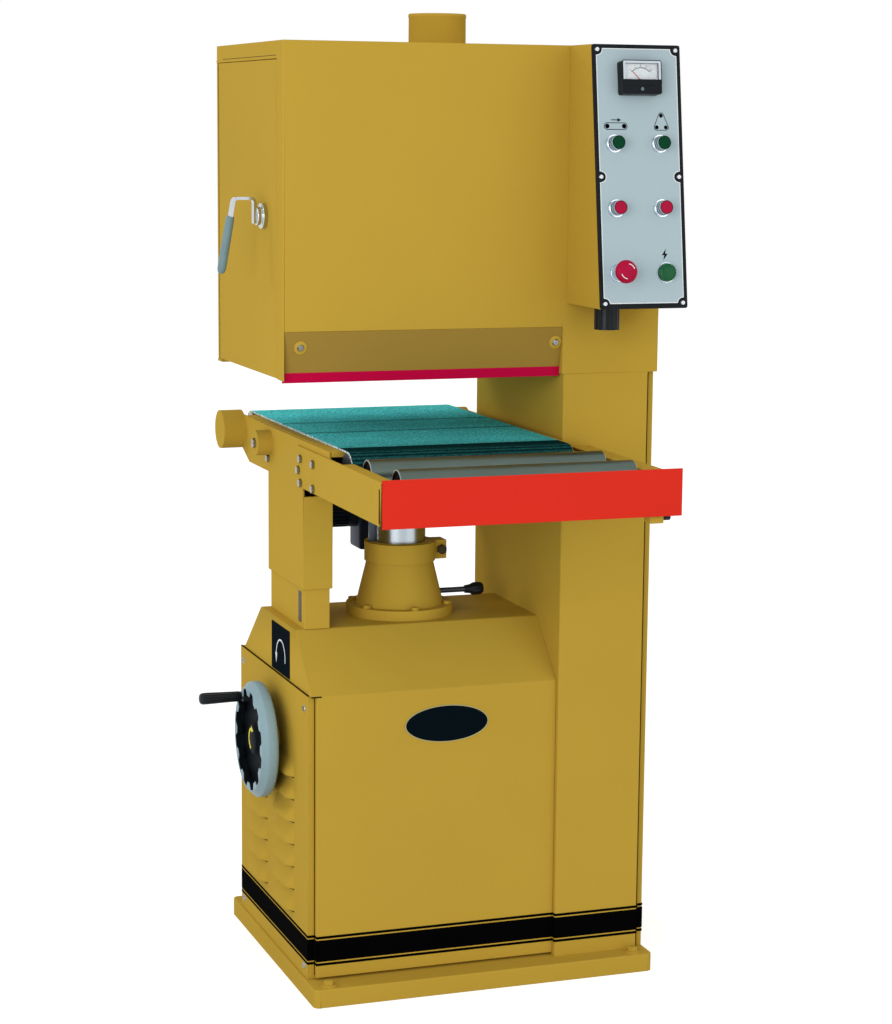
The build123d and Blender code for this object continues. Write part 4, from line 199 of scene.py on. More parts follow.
class Graph:
    """Short way to add and link nodes in a tree."""

    def __init__(self, tree):
        self.tree = tree

    def add(self, kind, settings=None, sockets=None):
        """New node with its settings, and sockets fed by a value or by another node's socket."""
        node = self.tree.nodes.new(kind)
        for name, value in (settings or {}).items():
            setattr(node, name, value)
        for name, value in (sockets or {}).items():
            self.feed(node.inputs[name], value)
        return node

    def feed(self, socket, value):
        """Link or set one input socket."""
        if isinstance(value, bpy.types.NodeSocket):
            self.tree.links.new(value, socket)
        else:
            socket.default_value = value

    def math(self, operation, first, second=0.0):
        """Output of a math node."""
        return self.add("ShaderNodeMath", {"operation": operation}, {0: first, 1: second}).outputs[0]

    def span(self, value, low, high, to_low, to_high):
        """Value moved from one range to another, held at its ends."""
        sockets = {"Value": value, "From Min": low, "From Max": high, "To Min": to_low, "To Max": to_high}
        return self.add("ShaderNodeMapRange", None, sockets).outputs[0]

    def mix(self, share, first, second):
        """Colour between two colours."""
        node = self.add("ShaderNodeMix", {"data_type": "RGBA"}, {0: share, 6: first, 7: second})
        return node.outputs[2]

    def noise(self, spot, scale, detail=2.0):
        """Noise value from 0 to 1."""
        sockets = {"Vector": spot, "Scale": scale, "Detail": detail}
        return self.add("ShaderNodeTexNoise", None, sockets).outputs[0]

    def dimmed(self, tint, factor):
        """Colour times a value."""
        node = self.add("ShaderNodeVectorMath", {"operation": "SCALE"}, {"Vector": tint, "Scale": factor})
        return node.outputs["Vector"]


def skin_group(name, inputs):
    """New shader group that puts out a colour, a roughness and a height."""
    tree = bpy.data.node_groups.new(name, "ShaderNodeTree")
    for label, kind, value in inputs:
        tree.interface.new_socket(label, in_out="INPUT", socket_type=kind).default_value = value
    tree.interface.new_socket("Colour", in_out="OUTPUT", socket_type="NodeSocketColor")
    tree.interface.new_socket("Roughness", in_out="OUTPUT", socket_type="NodeSocketFloat")
    tree.interface.new_socket("Height", in_out="OUTPUT", socket_type="NodeSocketFloat")
    graph = Graph(tree)
    given = graph.add("NodeGroupInput").outputs
    spot = graph.add("ShaderNodeTexCoord").outputs["Object"]
    return graph, given, spot, graph.add("NodeGroupOutput").inputs


def paint_skin():
    """Sprayed enamel: faint clouds, fine speckle and orange peel."""
    graph, given, spot, out = skin_group("paint_skin", [
        ("Colour", "NodeSocketColor", (0.5, 0.5, 0.5, 1.0)),
        ("Cloud", "NodeSocketFloat", 0.05),
        ("Gloss", "NodeSocketFloat", 0.4),
    ])
    cloud = graph.noise(spot, 2.6, 3.0)
    speckle = graph.noise(spot, 520.0, 2.0)
    peel = graph.noise(spot, 850.0, 2.0)
    patches, dots = graph.span(cloud, 0.3, 0.7, -1.0, 1.0), graph.span(speckle, 0.2, 0.8, -0.9, 0.9)
    drift = graph.math("ADD", patches, dots)
    factor = graph.math("ADD", graph.math("MULTIPLY", drift, given["Cloud"]), 1.0)
    graph.feed(out["Colour"], graph.dimmed(given["Colour"], factor))
    graph.feed(out["Roughness"], graph.math("ADD", given["Gloss"], graph.span(cloud, 0.3, 0.7, -0.04, 0.04)))
    graph.feed(out["Height"], peel)
    return graph.tree


def metal_skin():
    """Machined or drawn metal: grain stretched along one direction, with stains."""
    graph, given, spot, out = skin_group("metal_skin", [
        ("Colour", "NodeSocketColor", (0.5, 0.5, 0.5, 1.0)),
        ("Grain", "NodeSocketVector", (400.0, 400.0, 400.0)),
        ("Depth", "NodeSocketFloat", 0.1),
        ("Gloss", "NodeSocketFloat", 0.3),
    ])
    drawn = graph.add("ShaderNodeMapping", None, {"Vector": spot, "Scale": given["Grain"]}).outputs[0]
    grain = graph.noise(drawn, 1.0, 3.0)
    stain = graph.noise(spot, 9.0, 3.0)
    drift = graph.math("MULTIPLY", graph.span(grain, 0.25, 0.75, -1.0, 1.0), given["Depth"])
    factor = graph.math("ADD", drift, graph.span(stain, 0.3, 0.7, 0.94, 1.05))
    graph.feed(out["Colour"], graph.dimmed(given["Colour"], factor))
    rough = graph.math("ADD", given["Gloss"], graph.math("MULTIPLY", drift, 0.6))
    graph.feed(out["Roughness"], graph.math("ADD", rough, graph.span(stain, 0.3, 0.7, -0.03, 0.05)))
    graph.feed(out["Height"], grain)
    return graph.tree


def moulded_skin():
    """Moulded plastic or rubber: fine spark texture and slight handling marks."""
    graph, given, spot, out = skin_group("moulded_skin", [
        ("Colour", "NodeSocketColor", (0.02, 0.02, 0.02, 1.0)),
        ("Texture", "NodeSocketFloat", 900.0),
        ("Gloss", "NodeSocketFloat", 0.45),
    ])
    spark = graph.noise(spot, given["Texture"], 2.0)
    marks = graph.noise(spot, 35.0, 3.0)
    grain, rubs = graph.span(spark, 0.3, 0.7, -0.06, 0.06), graph.span(marks, 0.3, 0.7, 0.93, 1.07)
    factor = graph.math("ADD", grain, rubs)
    graph.feed(out["Colour"], graph.dimmed(given["Colour"], factor))
    graph.feed(out["Roughness"], graph.math("ADD", given["Gloss"], graph.span(marks, 0.3, 0.7, -0.06, 0.06)))
    graph.feed(out["Height"], spark)
    return graph.tree


def grit_skin():
    """Coated cloth: grains with paler flecks among them."""
    graph, given, spot, out = skin_group("grit_skin", [
        ("Colour", "NodeSocketColor", (0.2, 0.1, 0.05, 1.0)),
        ("Fleck", "NodeSocketColor", (0.6, 0.5, 0.4, 1.0)),
        ("Grain", "NodeSocketFloat", 700.0),
        ("Share", "NodeSocketFloat", 0.2),
        ("Gloss", "NodeSocketFloat", 0.6),
    ])
    cells = graph.add("ShaderNodeTexVoronoi", None, {"Vector": spot, "Scale": given["Grain"]})
    pick = graph.add("ShaderNodeSeparateColor", None, {0: cells.outputs["Color"]}).outputs[0]
    fleck = graph.math("GREATER_THAN", pick, graph.math("SUBTRACT", 1.0, given["Share"]))
    cloud = graph.noise(spot, 14.0, 4.0)
    shade = graph.dimmed(given["Colour"], graph.span(pick, 0.0, 1.0, 0.5, 1.35))
    tint = graph.mix(fleck, shade, given["Fleck"])
    graph.feed(out["Colour"], graph.dimmed(tint, graph.span(cloud, 0.3, 0.7, 0.9, 1.1)))
    graph.feed(out["Roughness"], graph.math("SUBTRACT", given["Gloss"], graph.math("MULTIPLY", fleck, 0.25)))
    graph.feed(out["Height"], graph.math("SUBTRACT", 1.0, cells.outputs["Distance"]))
    return graph.tree


SKINS = {}
FINISHES = {}


def finish(name, skin, sockets, bump=0.1, distance=0.0004, **shader):
    """Material made of one skin group and a Principled shader."""
    material = bpy.data.materials.new(name)
    material.use_nodes = True
    graph = Graph(material.node_tree)
    surface = material.node_tree.nodes["Principled BSDF"]
    skin_node = graph.add("ShaderNodeGroup", {"node_tree": SKINS[skin]}, sockets)
    graph.feed(surface.inputs["Base Color"], skin_node.outputs["Colour"])
    graph.feed(surface.inputs["Roughness"], skin_node.outputs["Roughness"])
    bumps = {"Strength": bump, "Distance": distance, "Height": skin_node.outputs["Height"]}
    graph.feed(surface.inputs["Normal"], graph.add("ShaderNodeBump", None, bumps).outputs[0])
    for label, value in shader.items():
        surface.inputs[label.replace("_", " ")].default_value = value
    FINISHES[name] = material
    return material


def full(tint):
    """Colour with its alpha."""
    return (*tint, 1.0)


def paint(name, tint, gloss=0.4, cloud=0.03, bump=0.12, sheen=0.12):
    """Painted or printed finish."""
    sockets = {"Colour": full(tint), "Gloss": gloss, "Cloud": cloud}
    return finish(name, "paint_skin", sockets, bump, Specular_IOR_Level=sheen)


def metal(name, tint, grain, gloss=0.3, depth=0.1, bump=0.08):
    """Metal finish."""
    sockets = {"Colour": full(tint), "Grain": grain, "Gloss": gloss, "Depth": depth}
    return finish(name, "metal_skin", sockets, bump, 0.0002, Metallic=1.0)


def plastic(name, tint, gloss=0.45, texture=900.0, bump=0.15, sheen=0.2, **shader):
    """Moulded finish."""
    sockets = {"Colour": full(tint), "Gloss": gloss, "Texture": texture}
    return finish(name, "moulded_skin", sockets, bump, Specular_IOR_Level=sheen, **shader)


def grit(name, tint, fleck, grain=700.0, share=0.2, gloss=0.65, bump=0.6, sheen=0.1):
    """Coated cloth finish."""
    sockets = {"Colour": full(tint), "Fleck": full(fleck), "Grain": grain, "Share": share, "Gloss": gloss}
    return finish(name, "grit_skin", sockets, bump, 0.0006, Specular_IOR_Level=sheen)


def mix_finishes(tints):
    """All finishes of the machine, named as the slots of the record where there is one."""
    for make in (paint_skin, metal_skin, moulded_skin, grit_skin):
        SKINS[make.__name__] = make()
    even = (420.0, 420.0, 420.0)
    paint("yellow_paint", tints.body, 0.5, sheen=0.003)
    paint("red_paint", tints.front_bar, 0.4, sheen=0.04)
    # Painted shade: the guard strips get a darker copy of the body paint, for their downward lean.
    paint("guard_paint", tints.guard, 0.5, sheen=0.003)
    paint("crimson_band", tints.guard_band, 0.45, sheen=0.04)
    paint("black_stripe", tints.stripe, 0.6, 0.08, sheen=0.001)
    paint("plate_black", tone(8, 18, 24), 0.6, 0.05, sheen=0.002)
    # Painted shade: a dark brown for the shade at the seam under the hood and along the column fold.
    paint("seam_brown", tone(52, 40, 14), 0.7, 0.05, sheen=0.0)
    paint("blue_paint", tints.motor, 0.45, 0.08)
    paint("panel_grey", tints.panel, 0.5, 0.02, sheen=0.06)
    paint("white_print", tone(226, 232, 234), 0.5, 0.02, sheen=0.05)
    # Painted light: one white in two tones, the sunk dial lighter to offset the shade in its recess and the
    # frame round it darker, so the two match.
    paint("dial_white", tone(238, 244, 248), 0.45, 0.02, sheen=0.05)
    paint("cover_white", tone(200, 211, 220), 0.45, 0.02, sheen=0.05)
    paint("arrow_yellow", tone(238, 222, 40), 0.4, 0.03)
    paint("scale_plate", tone(58, 52, 30), 0.4, 0.05)
    paint("scale_mark", tone(176, 168, 120), 0.5, 0.04)
    paint("wheel_grey", tints.wheel_rim, 0.4, 0.1, 0.3, 0.12)
    metal("motor_alloy", (0.28, 0.29, 0.3), even, 0.5, 0.12, 0.25)
    metal("bare_steel", (0.42, 0.43, 0.44), (60.0, 900.0, 900.0), 0.34)
    metal("polished_steel", (0.4, 0.45, 0.49), (900.0, 900.0, 40.0), 0.24, 0.05)
    metal("grey_zinc", (0.11, 0.145, 0.128), (50.0, 900.0, 900.0), 0.38, 0.1)
    metal("roller_rim", (0.4, 0.42, 0.42), even, 0.3)
    metal("cast_iron", (0.07, 0.085, 0.1), (260.0, 260.0, 260.0), 0.5, 0.2, 0.4)
    metal("bright_chrome", (0.52, 0.55, 0.58), (300.0, 300.0, 300.0), 0.12, 0.03, 0.03)
    metal("bezel_chrome", (0.72, 0.77, 0.82), (30.0, 620.0, 90.0), 0.16, 0.3, 0.03)
    metal("zinc_bolts", (0.3, 0.3, 0.28), even, 0.22, 0.2)
    plastic("black_plastic", (0.005, 0.0075, 0.0105), 0.35)
    plastic("wheel_black", (0.005, 0.007, 0.009), 0.5, 300.0, 0.2, 0.02)
    plastic("gap_black", (0.004, 0.0035, 0.003), 0.7, sheen=0.05)
    plastic("grey_plastic", (0.16, 0.25, 0.27), 0.42)
    plastic("black_rubber", (0.012, 0.012, 0.013), 0.7, 500.0, 0.3)
    plastic("meter_black", (0.007, 0.009, 0.011), 0.35, 700.0, 0.05, 0.08)
    plastic("needle_red", tone(196, 40, 36), 0.4)
    plastic("green_button", tints.start, 0.3, 600.0, 0.06, 0.03)
    plastic("red_button", tints.stop, 0.32, 600.0, 0.06, 0.06)
    plastic("green_lens", tone(6, 84, 44), 0.16, 300.0, 0.05, 0.12, Coat_Weight=0.12)
    plastic("clear_glass", (0.96, 0.98, 0.98), 0.05, 60.0, 0.01, 0.3, Transmission_Weight=1.0)
    grit("abrasive_cloth", tints.abrasive, tone(190, 150, 120), 900.0, 0.16)
    # The belt's side faces take a pale finish: the pale cloth edge, with a painted highlight along it.
    grit("belt_edge", tone(150, 172, 172), tone(225, 236, 236), 420.0, 0.4, 0.55, 0.4)
    belt_finish(tints.conveyor)


def belt_finish(tint):
    """Conveyor cover: rough tread with pale flecks, painted shade over the front wrap and towards the front
    of its run, and thin darker bands across it.
    """
    # The pale flecks stand for grains of the cover and are painted glints as well.
    grain_and_glint = tuple(min(1.0, c * 1.8 + 0.02) for c in tint)
    material = grit("teal_belt", tint, grain_and_glint, 560.0, 0.16, 0.7, 0.8, 0.0)
    graph = Graph(material.node_tree)
    surface = material.node_tree.nodes["Principled BSDF"]
    skin_tint = surface.inputs["Base Color"].links[0].from_socket
    run = graph.add("ShaderNodeUVMap", {"uv_map": "run"}).outputs["UV"]
    along = graph.add("ShaderNodeSeparateXYZ", None, {0: run}).outputs[0]
    # The bands darken the belt: painted shade over the front wrap, and two thin dark bands.
    dark = 0.0
    for middle, half, depth in BELT_BANDS:
        away = graph.math("ABSOLUTE", graph.math("SUBTRACT", along, middle))
        dark = graph.math("MAXIMUM", dark, graph.span(away, half - 0.006, half, depth, 0.0))
    tread = graph.add("ShaderNodeMapping", None, {"Vector": run, "Scale": (330.0, 140.0, 1.0)}).outputs[0]
    lines = graph.noise(tread, 1.0, 2.0)
    drift = graph.span(lines, 0.3, 0.7, 0.7, 1.2)
    ridges = graph.span(graph.math("SINE", graph.math("MULTIPLY", along, 740.0)), -1.0, 1.0, 0.92, 1.0)
    # Painted shade: the belt is darker towards the front of its run.
    front_shade = graph.span(along, 0.03, 0.2, 0.45, 1.0)
    band_factor = graph.math("SUBTRACT", 1.0, graph.math("MULTIPLY", dark, ridges))
    factor = graph.math("MULTIPLY", graph.math("MULTIPLY", drift, front_shade), band_factor)
    graph.feed(surface.inputs["Base Color"], graph.dimmed(skin_tint, factor))


def link(obj):
    """Put an object in the scene."""
    bpy.context.scene.collection.objects.link(obj)
    return obj


def painted(mesh, *labels):
    """Mesh with its finishes."""
    for label in labels:
        mesh.materials.append(FINISHES[label])
    return mesh


def piece(name, mesh, body, slot, *nodes):
    """Finished mesh as a piece that rides on a body and stands for CAD nodes."""
    mesh.name = name
    obj = link(bpy.data.objects.new(name, mesh))
    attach(obj, body)
    if nodes:
        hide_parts(*nodes)
    return obj


def body_of(node):
    """Body that a CAD node belongs to."""
    return frame["nodes"][node]["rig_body"]


def from_bmesh(work):
    """Plain mesh from a bmesh, smooth up to an angle."""
    bmesh.ops.recalc_face_normals(work, faces=work.faces)
    for face in work.faces:
        face.smooth = True
    mesh = bpy.data.meshes.new("piece")
    work.to_mesh(mesh)
    work.free()
    mesh.set_sharp_from_angle(angle=radians(SHARP_ANGLE))
    return mesh


def joined(*meshes):
    """Several plain meshes as one, with their finishes."""
    work = bmesh.new()
    finishes = []
    for mesh in meshes:
        finishes += [material for material in mesh.materials if material not in finishes]
        places = [finishes.index(material) for material in mesh.materials] or [0]
        start = len(work.faces)
        work.from_mesh(mesh)
        work.faces.ensure_lookup_table()
        for face in work.faces[start:]:
            face.material_index = places[face.material_index]
        bpy.data.meshes.remove(mesh)
    mesh = bpy.data.meshes.new("piece")
    work.to_mesh(mesh)
    work.free()
    for material in finishes:
        mesh.materials.append(material)
    return mesh


def recoat(node, label):
    """Give a CAD node another finish."""
    for slot in frame["nodes"][node].material_slots:
        slot.material = FINISHES[label]


def centre(node):
    """Middle of a CAD node's box."""
    low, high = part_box(node)
    return (low + high) / 2


def axes(x, y, z, origin):
    """Placement with three directions and an origin."""
    place = Matrix((x, y, z)).transposed().to_4x4()
    place.translation = Vector(origin)
    return place


def shifted(place, u=0.0, v=0.0, out=0.0):
    """Placement moved along its own directions."""
    return place @ Matrix.Translation((u, v, out))


def pointing(origin, axis, side=UP):
    """Placement whose Z runs along an axis and whose X is nearest to a side direction."""
    z = Vector(axis).normalized()
    x = Vector(side) - z * Vector(side).dot(z)
    if x.length < 1e-6:
        x = RIGHT - z * z.x
    x.normalize()
    return axes(x, z.cross(x), z, origin)


def wavy(depth, count, rings):
    """Swell for a turned form: hollows of that share of the radius on some of its rings."""
    def swell(angle, index, reach):
        return reach * (1.0 - depth * (index in rings) * (0.5 - 0.5 * cos(count * angle)))

    return swell


def turned(profile, place, segments=64, swell=None, tints=None, closed=False):
    """Turned form from (height, radius) points; swell varies the radius, tints gives face finishes."""
    work = bmesh.new()
    rings = []
    for index, (height, radius) in enumerate(profile):
        if radius < 1e-7:
            rings.append([work.verts.new((0.0, 0.0, height))])
            continue
        ring = []
        for step in range(segments):
            angle = tau * step / segments
            reach = swell(angle, index, radius) if swell else radius
            ring.append(work.verts.new((reach * cos(angle), reach * sin(angle), height)))
        rings.append(ring)
    pairs = list(zip(range(len(rings)), range(1, len(rings))))
    if closed:
        pairs.append((len(rings) - 1, 0))
    for index, (first, second) in enumerate(pairs):
        low, high = rings[first], rings[second]
        for step in range(segments):
            after = (step + 1) % segments
            if len(low) == 1 and len(high) == 1:
                continue
            if len(low) == 1:
                corners = (low[0], high[after], high[step])
            elif len(high) == 1:
                corners = (low[step], low[after], high[0])
            else:
                corners = (low[step], low[after], high[after], high[step])
            face = work.faces.new(corners)
            face.material_index = tints[index] if tints else 0
    mesh = from_bmesh(work)
    mesh.transform(place)
    return mesh


def realised(obj):
    """Plain mesh of an object as the scene shows it."""
    return bpy.data.meshes.new_from_object(obj.evaluated_get(bpy.context.evaluated_depsgraph_get()))


def flattened(curve):
    """Plain mesh of a flat curve or a text, which goes."""
    obj = link(bpy.data.objects.new("outline", curve))
    mesh = realised(obj)
    bpy.data.objects.remove(obj)
    bpy.data.curves.remove(curve)
    return mesh


def cutout(outlines, thickness, place):
    """Flat plate with that thickness, from closed outlines, the inner ones being holes."""
    curve = bpy.data.curves.new("outline", "CURVE")
    curve.dimensions = "2D"
    curve.fill_mode = "BOTH"
    curve.extrude = thickness / 2
    for outline in outlines:
        spline = curve.splines.new("POLY")
        spline.points.add(len(outline) - 1)
        for point, (u, v) in zip(spline.points, outline):
            point.co = (u, v, 0.0, 1.0)
        spline.use_cyclic_u = True
    mesh = flattened(curve)
    work = bmesh.new()
    work.from_mesh(mesh)
    bpy.data.meshes.remove(mesh)
    bmesh.ops.remove_doubles(work, verts=work.verts, dist=1e-7)
    mesh = from_bmesh(work)
    mesh.transform(shifted(place, out=thickness / 2))
    return mesh


def block(low, high, edge, segments=2):
    """Box between two corners with rounded edges."""
    work = bmesh.new()
    bmesh.ops.create_cube(work, size=1.0)
    middle = (Vector(low) + Vector(high)) / 2
    size = Vector(high) - Vector(low)
    for vert in work.verts:
        vert.co = middle + Vector(c * s for c, s in zip(vert.co, size))
    bmesh.ops.bevel(
        work, geom=work.edges[:], offset=edge, segments=segments,
        profile=0.5, affect="EDGES", clamp_overlap=True,
    )
    return from_bmesh(work)


def evenly(start, end, steps):
    """Values from start to end in even steps."""
    return [start + (end - start) * k / steps for k in range(steps + 1)]


def heading(angle):
    """Flat direction at an angle in radians."""
    return Vector((cos(angle), sin(angle)))


def around(middle, points):
    """Points given from a middle."""
    return [(middle[0] + u, middle[1] + v) for u, v in points]


def ellipse(middle, reach, angles):
    """Points on an ellipse, angles in degrees."""
    turns = [radians(angle) for angle in angles]
    return around(middle, [(reach[0] * cos(turn), reach[1] * sin(turn)) for turn in turns])


def arc(middle, radius, start, end, steps):
    """Points on an arc, angles in degrees."""
    return ellipse(middle, (radius, radius), evenly(start, end, steps))


def polar(middle, radius, angle):
    """One point round a middle, its angle in degrees."""
    return ellipse(middle, (radius, radius), [angle])[0]


def disc(middle, radius, steps=32):
    """Closed round outline."""
    return arc(middle, radius, 0.0, 360.0 * (steps - 1) / steps, steps - 1)


def ribbon(points, width, closed=False):
    """Outline of a line of that width through points; a closed line gives an outer and an inner outline."""
    count = len(points)
    left, right = [], []
    for index, point in enumerate(points):
        before = points[index - 1] if closed or index else point
        after = points[(index + 1) % count] if closed or index < count - 1 else point
        along = Vector(after) - Vector(before)
        along.normalize()
        side = Vector((-along.y, along.x)) * width / 2
        left.append(tuple(Vector(point) + side))
        right.append(tuple(Vector(point) - side))
    return [left, right] if closed else [left + right[::-1]]


def rounded(low, high, radius, steps=5):
    """Closed outline of a rectangle with round corners."""
    corners = [
        ((high[0] - radius, high[1] - radius), 0.0),
        ((low[0] + radius, high[1] - radius), 90.0),
        ((low[0] + radius, low[1] + radius), 180.0),
        ((high[0] - radius, low[1] + radius), 270.0),
    ]
    return [p for middle, start in corners for p in arc(middle, radius, start, start + 90.0, steps)]


def soften(node, width, slot, label=None, shortest=0.006):
    """Copy of a CAD node with its long edges rounded, in its slot's finish or another, in its place."""
    mesh = frame["nodes"][node].data.copy()
    stored = mesh.attributes.get("custom_normal")
    if stored:
        mesh.attributes.remove(stored)
    work = bmesh.new()
    work.from_mesh(mesh)
    bmesh.ops.remove_doubles(work, verts=work.verts, dist=MERGE_DISTANCE)
    bmesh.ops.dissolve_limit(work, angle_limit=radians(FLAT_ANGLE), verts=work.verts, edges=work.edges)
    for face in work.faces:
        face.smooth = True
    weights = work.edges.layers.float.new("bevel_weight_edge")
    for edge in work.edges:
        folded = edge.is_manifold and edge.calc_face_angle() > radians(FOLD_ANGLE)
        edge[weights] = 1.0 if folded and edge.calc_length() > shortest else 0.0
        edge.smooth = not folded or edge[weights] > 0.0
    work.to_mesh(mesh)
    work.free()
    mesh.materials.clear()
    obj = piece(node + "_skin", painted(mesh, label or slot), body_of(node), slot, node)
    bevel = obj.modifiers.new("edges", "BEVEL")
    bevel.width = width
    bevel.segments = 2
    bevel.limit_method = "WEIGHT"
    bevel.use_clamp_overlap = False
    bevel.harden_normals = False
    even = obj.modifiers.new("even", "WEIGHTED_NORMAL")
    even.mode = "FACE_AREA"
    even.keep_sharp = True
    return obj


class Grower:
    """Geometry Nodes tree that sets one form on every point, aimed along the point's own direction."""

    def __init__(self, name, sizes):
        self.tree = bpy.data.node_groups.new(name, "GeometryNodeTree")
        self.tree.interface.new_socket("Points", in_out="INPUT", socket_type="NodeSocketGeometry")
        self.tree.interface.new_socket("Geometry", in_out="OUTPUT", socket_type="NodeSocketGeometry")
        self.ids = {}
        for label, value in sizes.items():
            socket = self.tree.interface.new_socket(label, in_out="INPUT", socket_type="NodeSocketFloat")
            socket.default_value = value
            self.ids[label] = socket.identifier
        self.graph = Graph(self.tree)
        self.given = self.graph.add("NodeGroupInput").outputs

    def times(self, first, second):
        """Product of two values."""
        return self.graph.math("MULTIPLY", first, second)

    def moved(self, shape, height):
        """Shape lifted along its own axis."""
        offset = self.graph.add("ShaderNodeCombineXYZ", None, {"Z": height}).outputs[0]
        sockets = {"Geometry": shape, "Translation": offset}
        return self.graph.add("GeometryNodeTransform", None, sockets).outputs[0]

    def drum(self, sides, radius, height, top=None):
        """Prism or cut cone standing on its foot."""
        sockets = {"Vertices": sides, "Radius Bottom": radius, "Radius Top": radius if top is None else top}
        sockets["Depth"] = height
        return self.graph.add("GeometryNodeMeshCone", None, sockets).outputs["Mesh"]

    def bar(self, *size):
        """Bar of that size round its middle."""
        vector = self.graph.add("ShaderNodeCombineXYZ", None, dict(zip("XYZ", size))).outputs[0]
        return self.graph.add("GeometryNodeMeshCube", None, {"Size": vector}).outputs["Mesh"]

    def cut(self, shape, *tools, operation="DIFFERENCE"):
        """Shape with other shapes cut from it, or kept only where it meets them."""
        node = self.graph.add("GeometryNodeMeshBoolean", {"operation": operation, "solver": "EXACT"})
        first = "Mesh 1" if operation == "DIFFERENCE" else "Mesh 2"
        self.tree.links.new(shape, node.inputs[first])
        for tool in tools:
            self.tree.links.new(tool, node.inputs["Mesh 2"])
        return node.outputs["Mesh"]

    def together(self, *shapes):
        """Several shapes as one."""
        node = self.graph.add("GeometryNodeJoinGeometry")
        for shape in shapes:
            self.tree.links.new(shape, node.inputs[0])
        return node.outputs[0]

    def stored(self, name, kind):
        """Value stored on the points or faces."""
        node = self.graph.add("GeometryNodeInputNamedAttribute", {"data_type": kind}, {"Name": name})
        return node.outputs[0]

    def close(self, shape, finish_name, mouth_name=None):
        """Set the form on the points, realise it and give it its finish, and another to its mouth faces."""
        sockets = {"Vector": self.stored("aim", "FLOAT_VECTOR")}
        upright = self.graph.add("FunctionNodeAlignRotationToVector", {"axis": "Z"}, sockets)
        sockets = {"Rotation": upright.outputs[0], "Vector": self.stored("side", "FLOAT_VECTOR")}
        turn = self.graph.add("FunctionNodeAlignRotationToVector", {"axis": "X", "pivot_axis": "Z"}, sockets)
        sockets = {"Points": self.given["Points"], "Instance": shape, "Rotation": turn.outputs[0]}
        spread = self.graph.add("GeometryNodeInstanceOnPoints", None, sockets)
        real = self.graph.add("GeometryNodeRealizeInstances", None, {"Geometry": spread.outputs[0]})
        sockets = {"Geometry": real.outputs[0], "Material": FINISHES[finish_name]}
        coated = self.graph.add("GeometryNodeSetMaterial", None, sockets)
        if mouth_name:
            sockets = {"Geometry": coated.outputs[0], "Selection": self.stored("mouth", "BOOLEAN")}
            sockets["Material"] = FINISHES[mouth_name]
            coated = self.graph.add("GeometryNodeSetMaterial", None, sockets)
        end = self.graph.add("NodeGroupOutput")
        self.tree.links.new(coated.outputs[0], end.inputs[0])

    def grow(self, spots, sizes):
        """Plain mesh of the form on every (point, aim, side) spot."""
        mesh = bpy.data.meshes.new("spots")
        mesh.from_pydata([tuple(spot[0]) for spot in spots], [], [])
        for name, index in (("aim", 1), ("side", 2)):
            stored = mesh.attributes.new(name, "FLOAT_VECTOR", "POINT")
            stored.data.foreach_set("vector", [c for spot in spots for c in spot[index]])
        obj = link(bpy.data.objects.new("spots", mesh))
        maker = obj.modifiers.new("maker", "NODES")
        maker.node_group = self.tree
        for label, value in sizes.items():
            maker[self.ids[label]] = value
        result = realised(obj)
        obj.modifiers.remove(maker)
        bpy.data.objects.remove(obj)
        bpy.data.meshes.remove(mesh)
        work = bmesh.new()
        work.from_mesh(result)
        bmesh.ops.recalc_face_normals(work, faces=work.faces)
        work.to_mesh(result)
        work.free()
        result.set_sharp_from_angle(angle=radians(SHARP_ANGLE))
        return result


def face_place():
    """Placement on the control face: U to the right, V up the slope, height out of it."""
    box_low, box_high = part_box("control_box")
    plate_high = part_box("control_panel")[1]
    middle = (box_low.x + box_high.x) / 2
    foot = Vector((middle, box_low.y, box_low.z))
    top = Vector((middle, plate_high.y, box_high.z))
    v = (top - foot).normalized()
    out = RIGHT.cross(v)
    return axes(RIGHT, v, out, (foot + top) / 2 + out * PLATE)


def side_place(x):
    """Placement on a left wall: U to the front, V up, height out of it."""
    return axes(FRONT, UP, LEFT, (x, 0.0, 0.0))


def lift_axis():
    """Foot of the lift axis on the floor."""
    low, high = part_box("pedestal")
    reach = (high.y - low.y) / 2
    return Vector((low.x + reach, low.y + reach, 0.0))


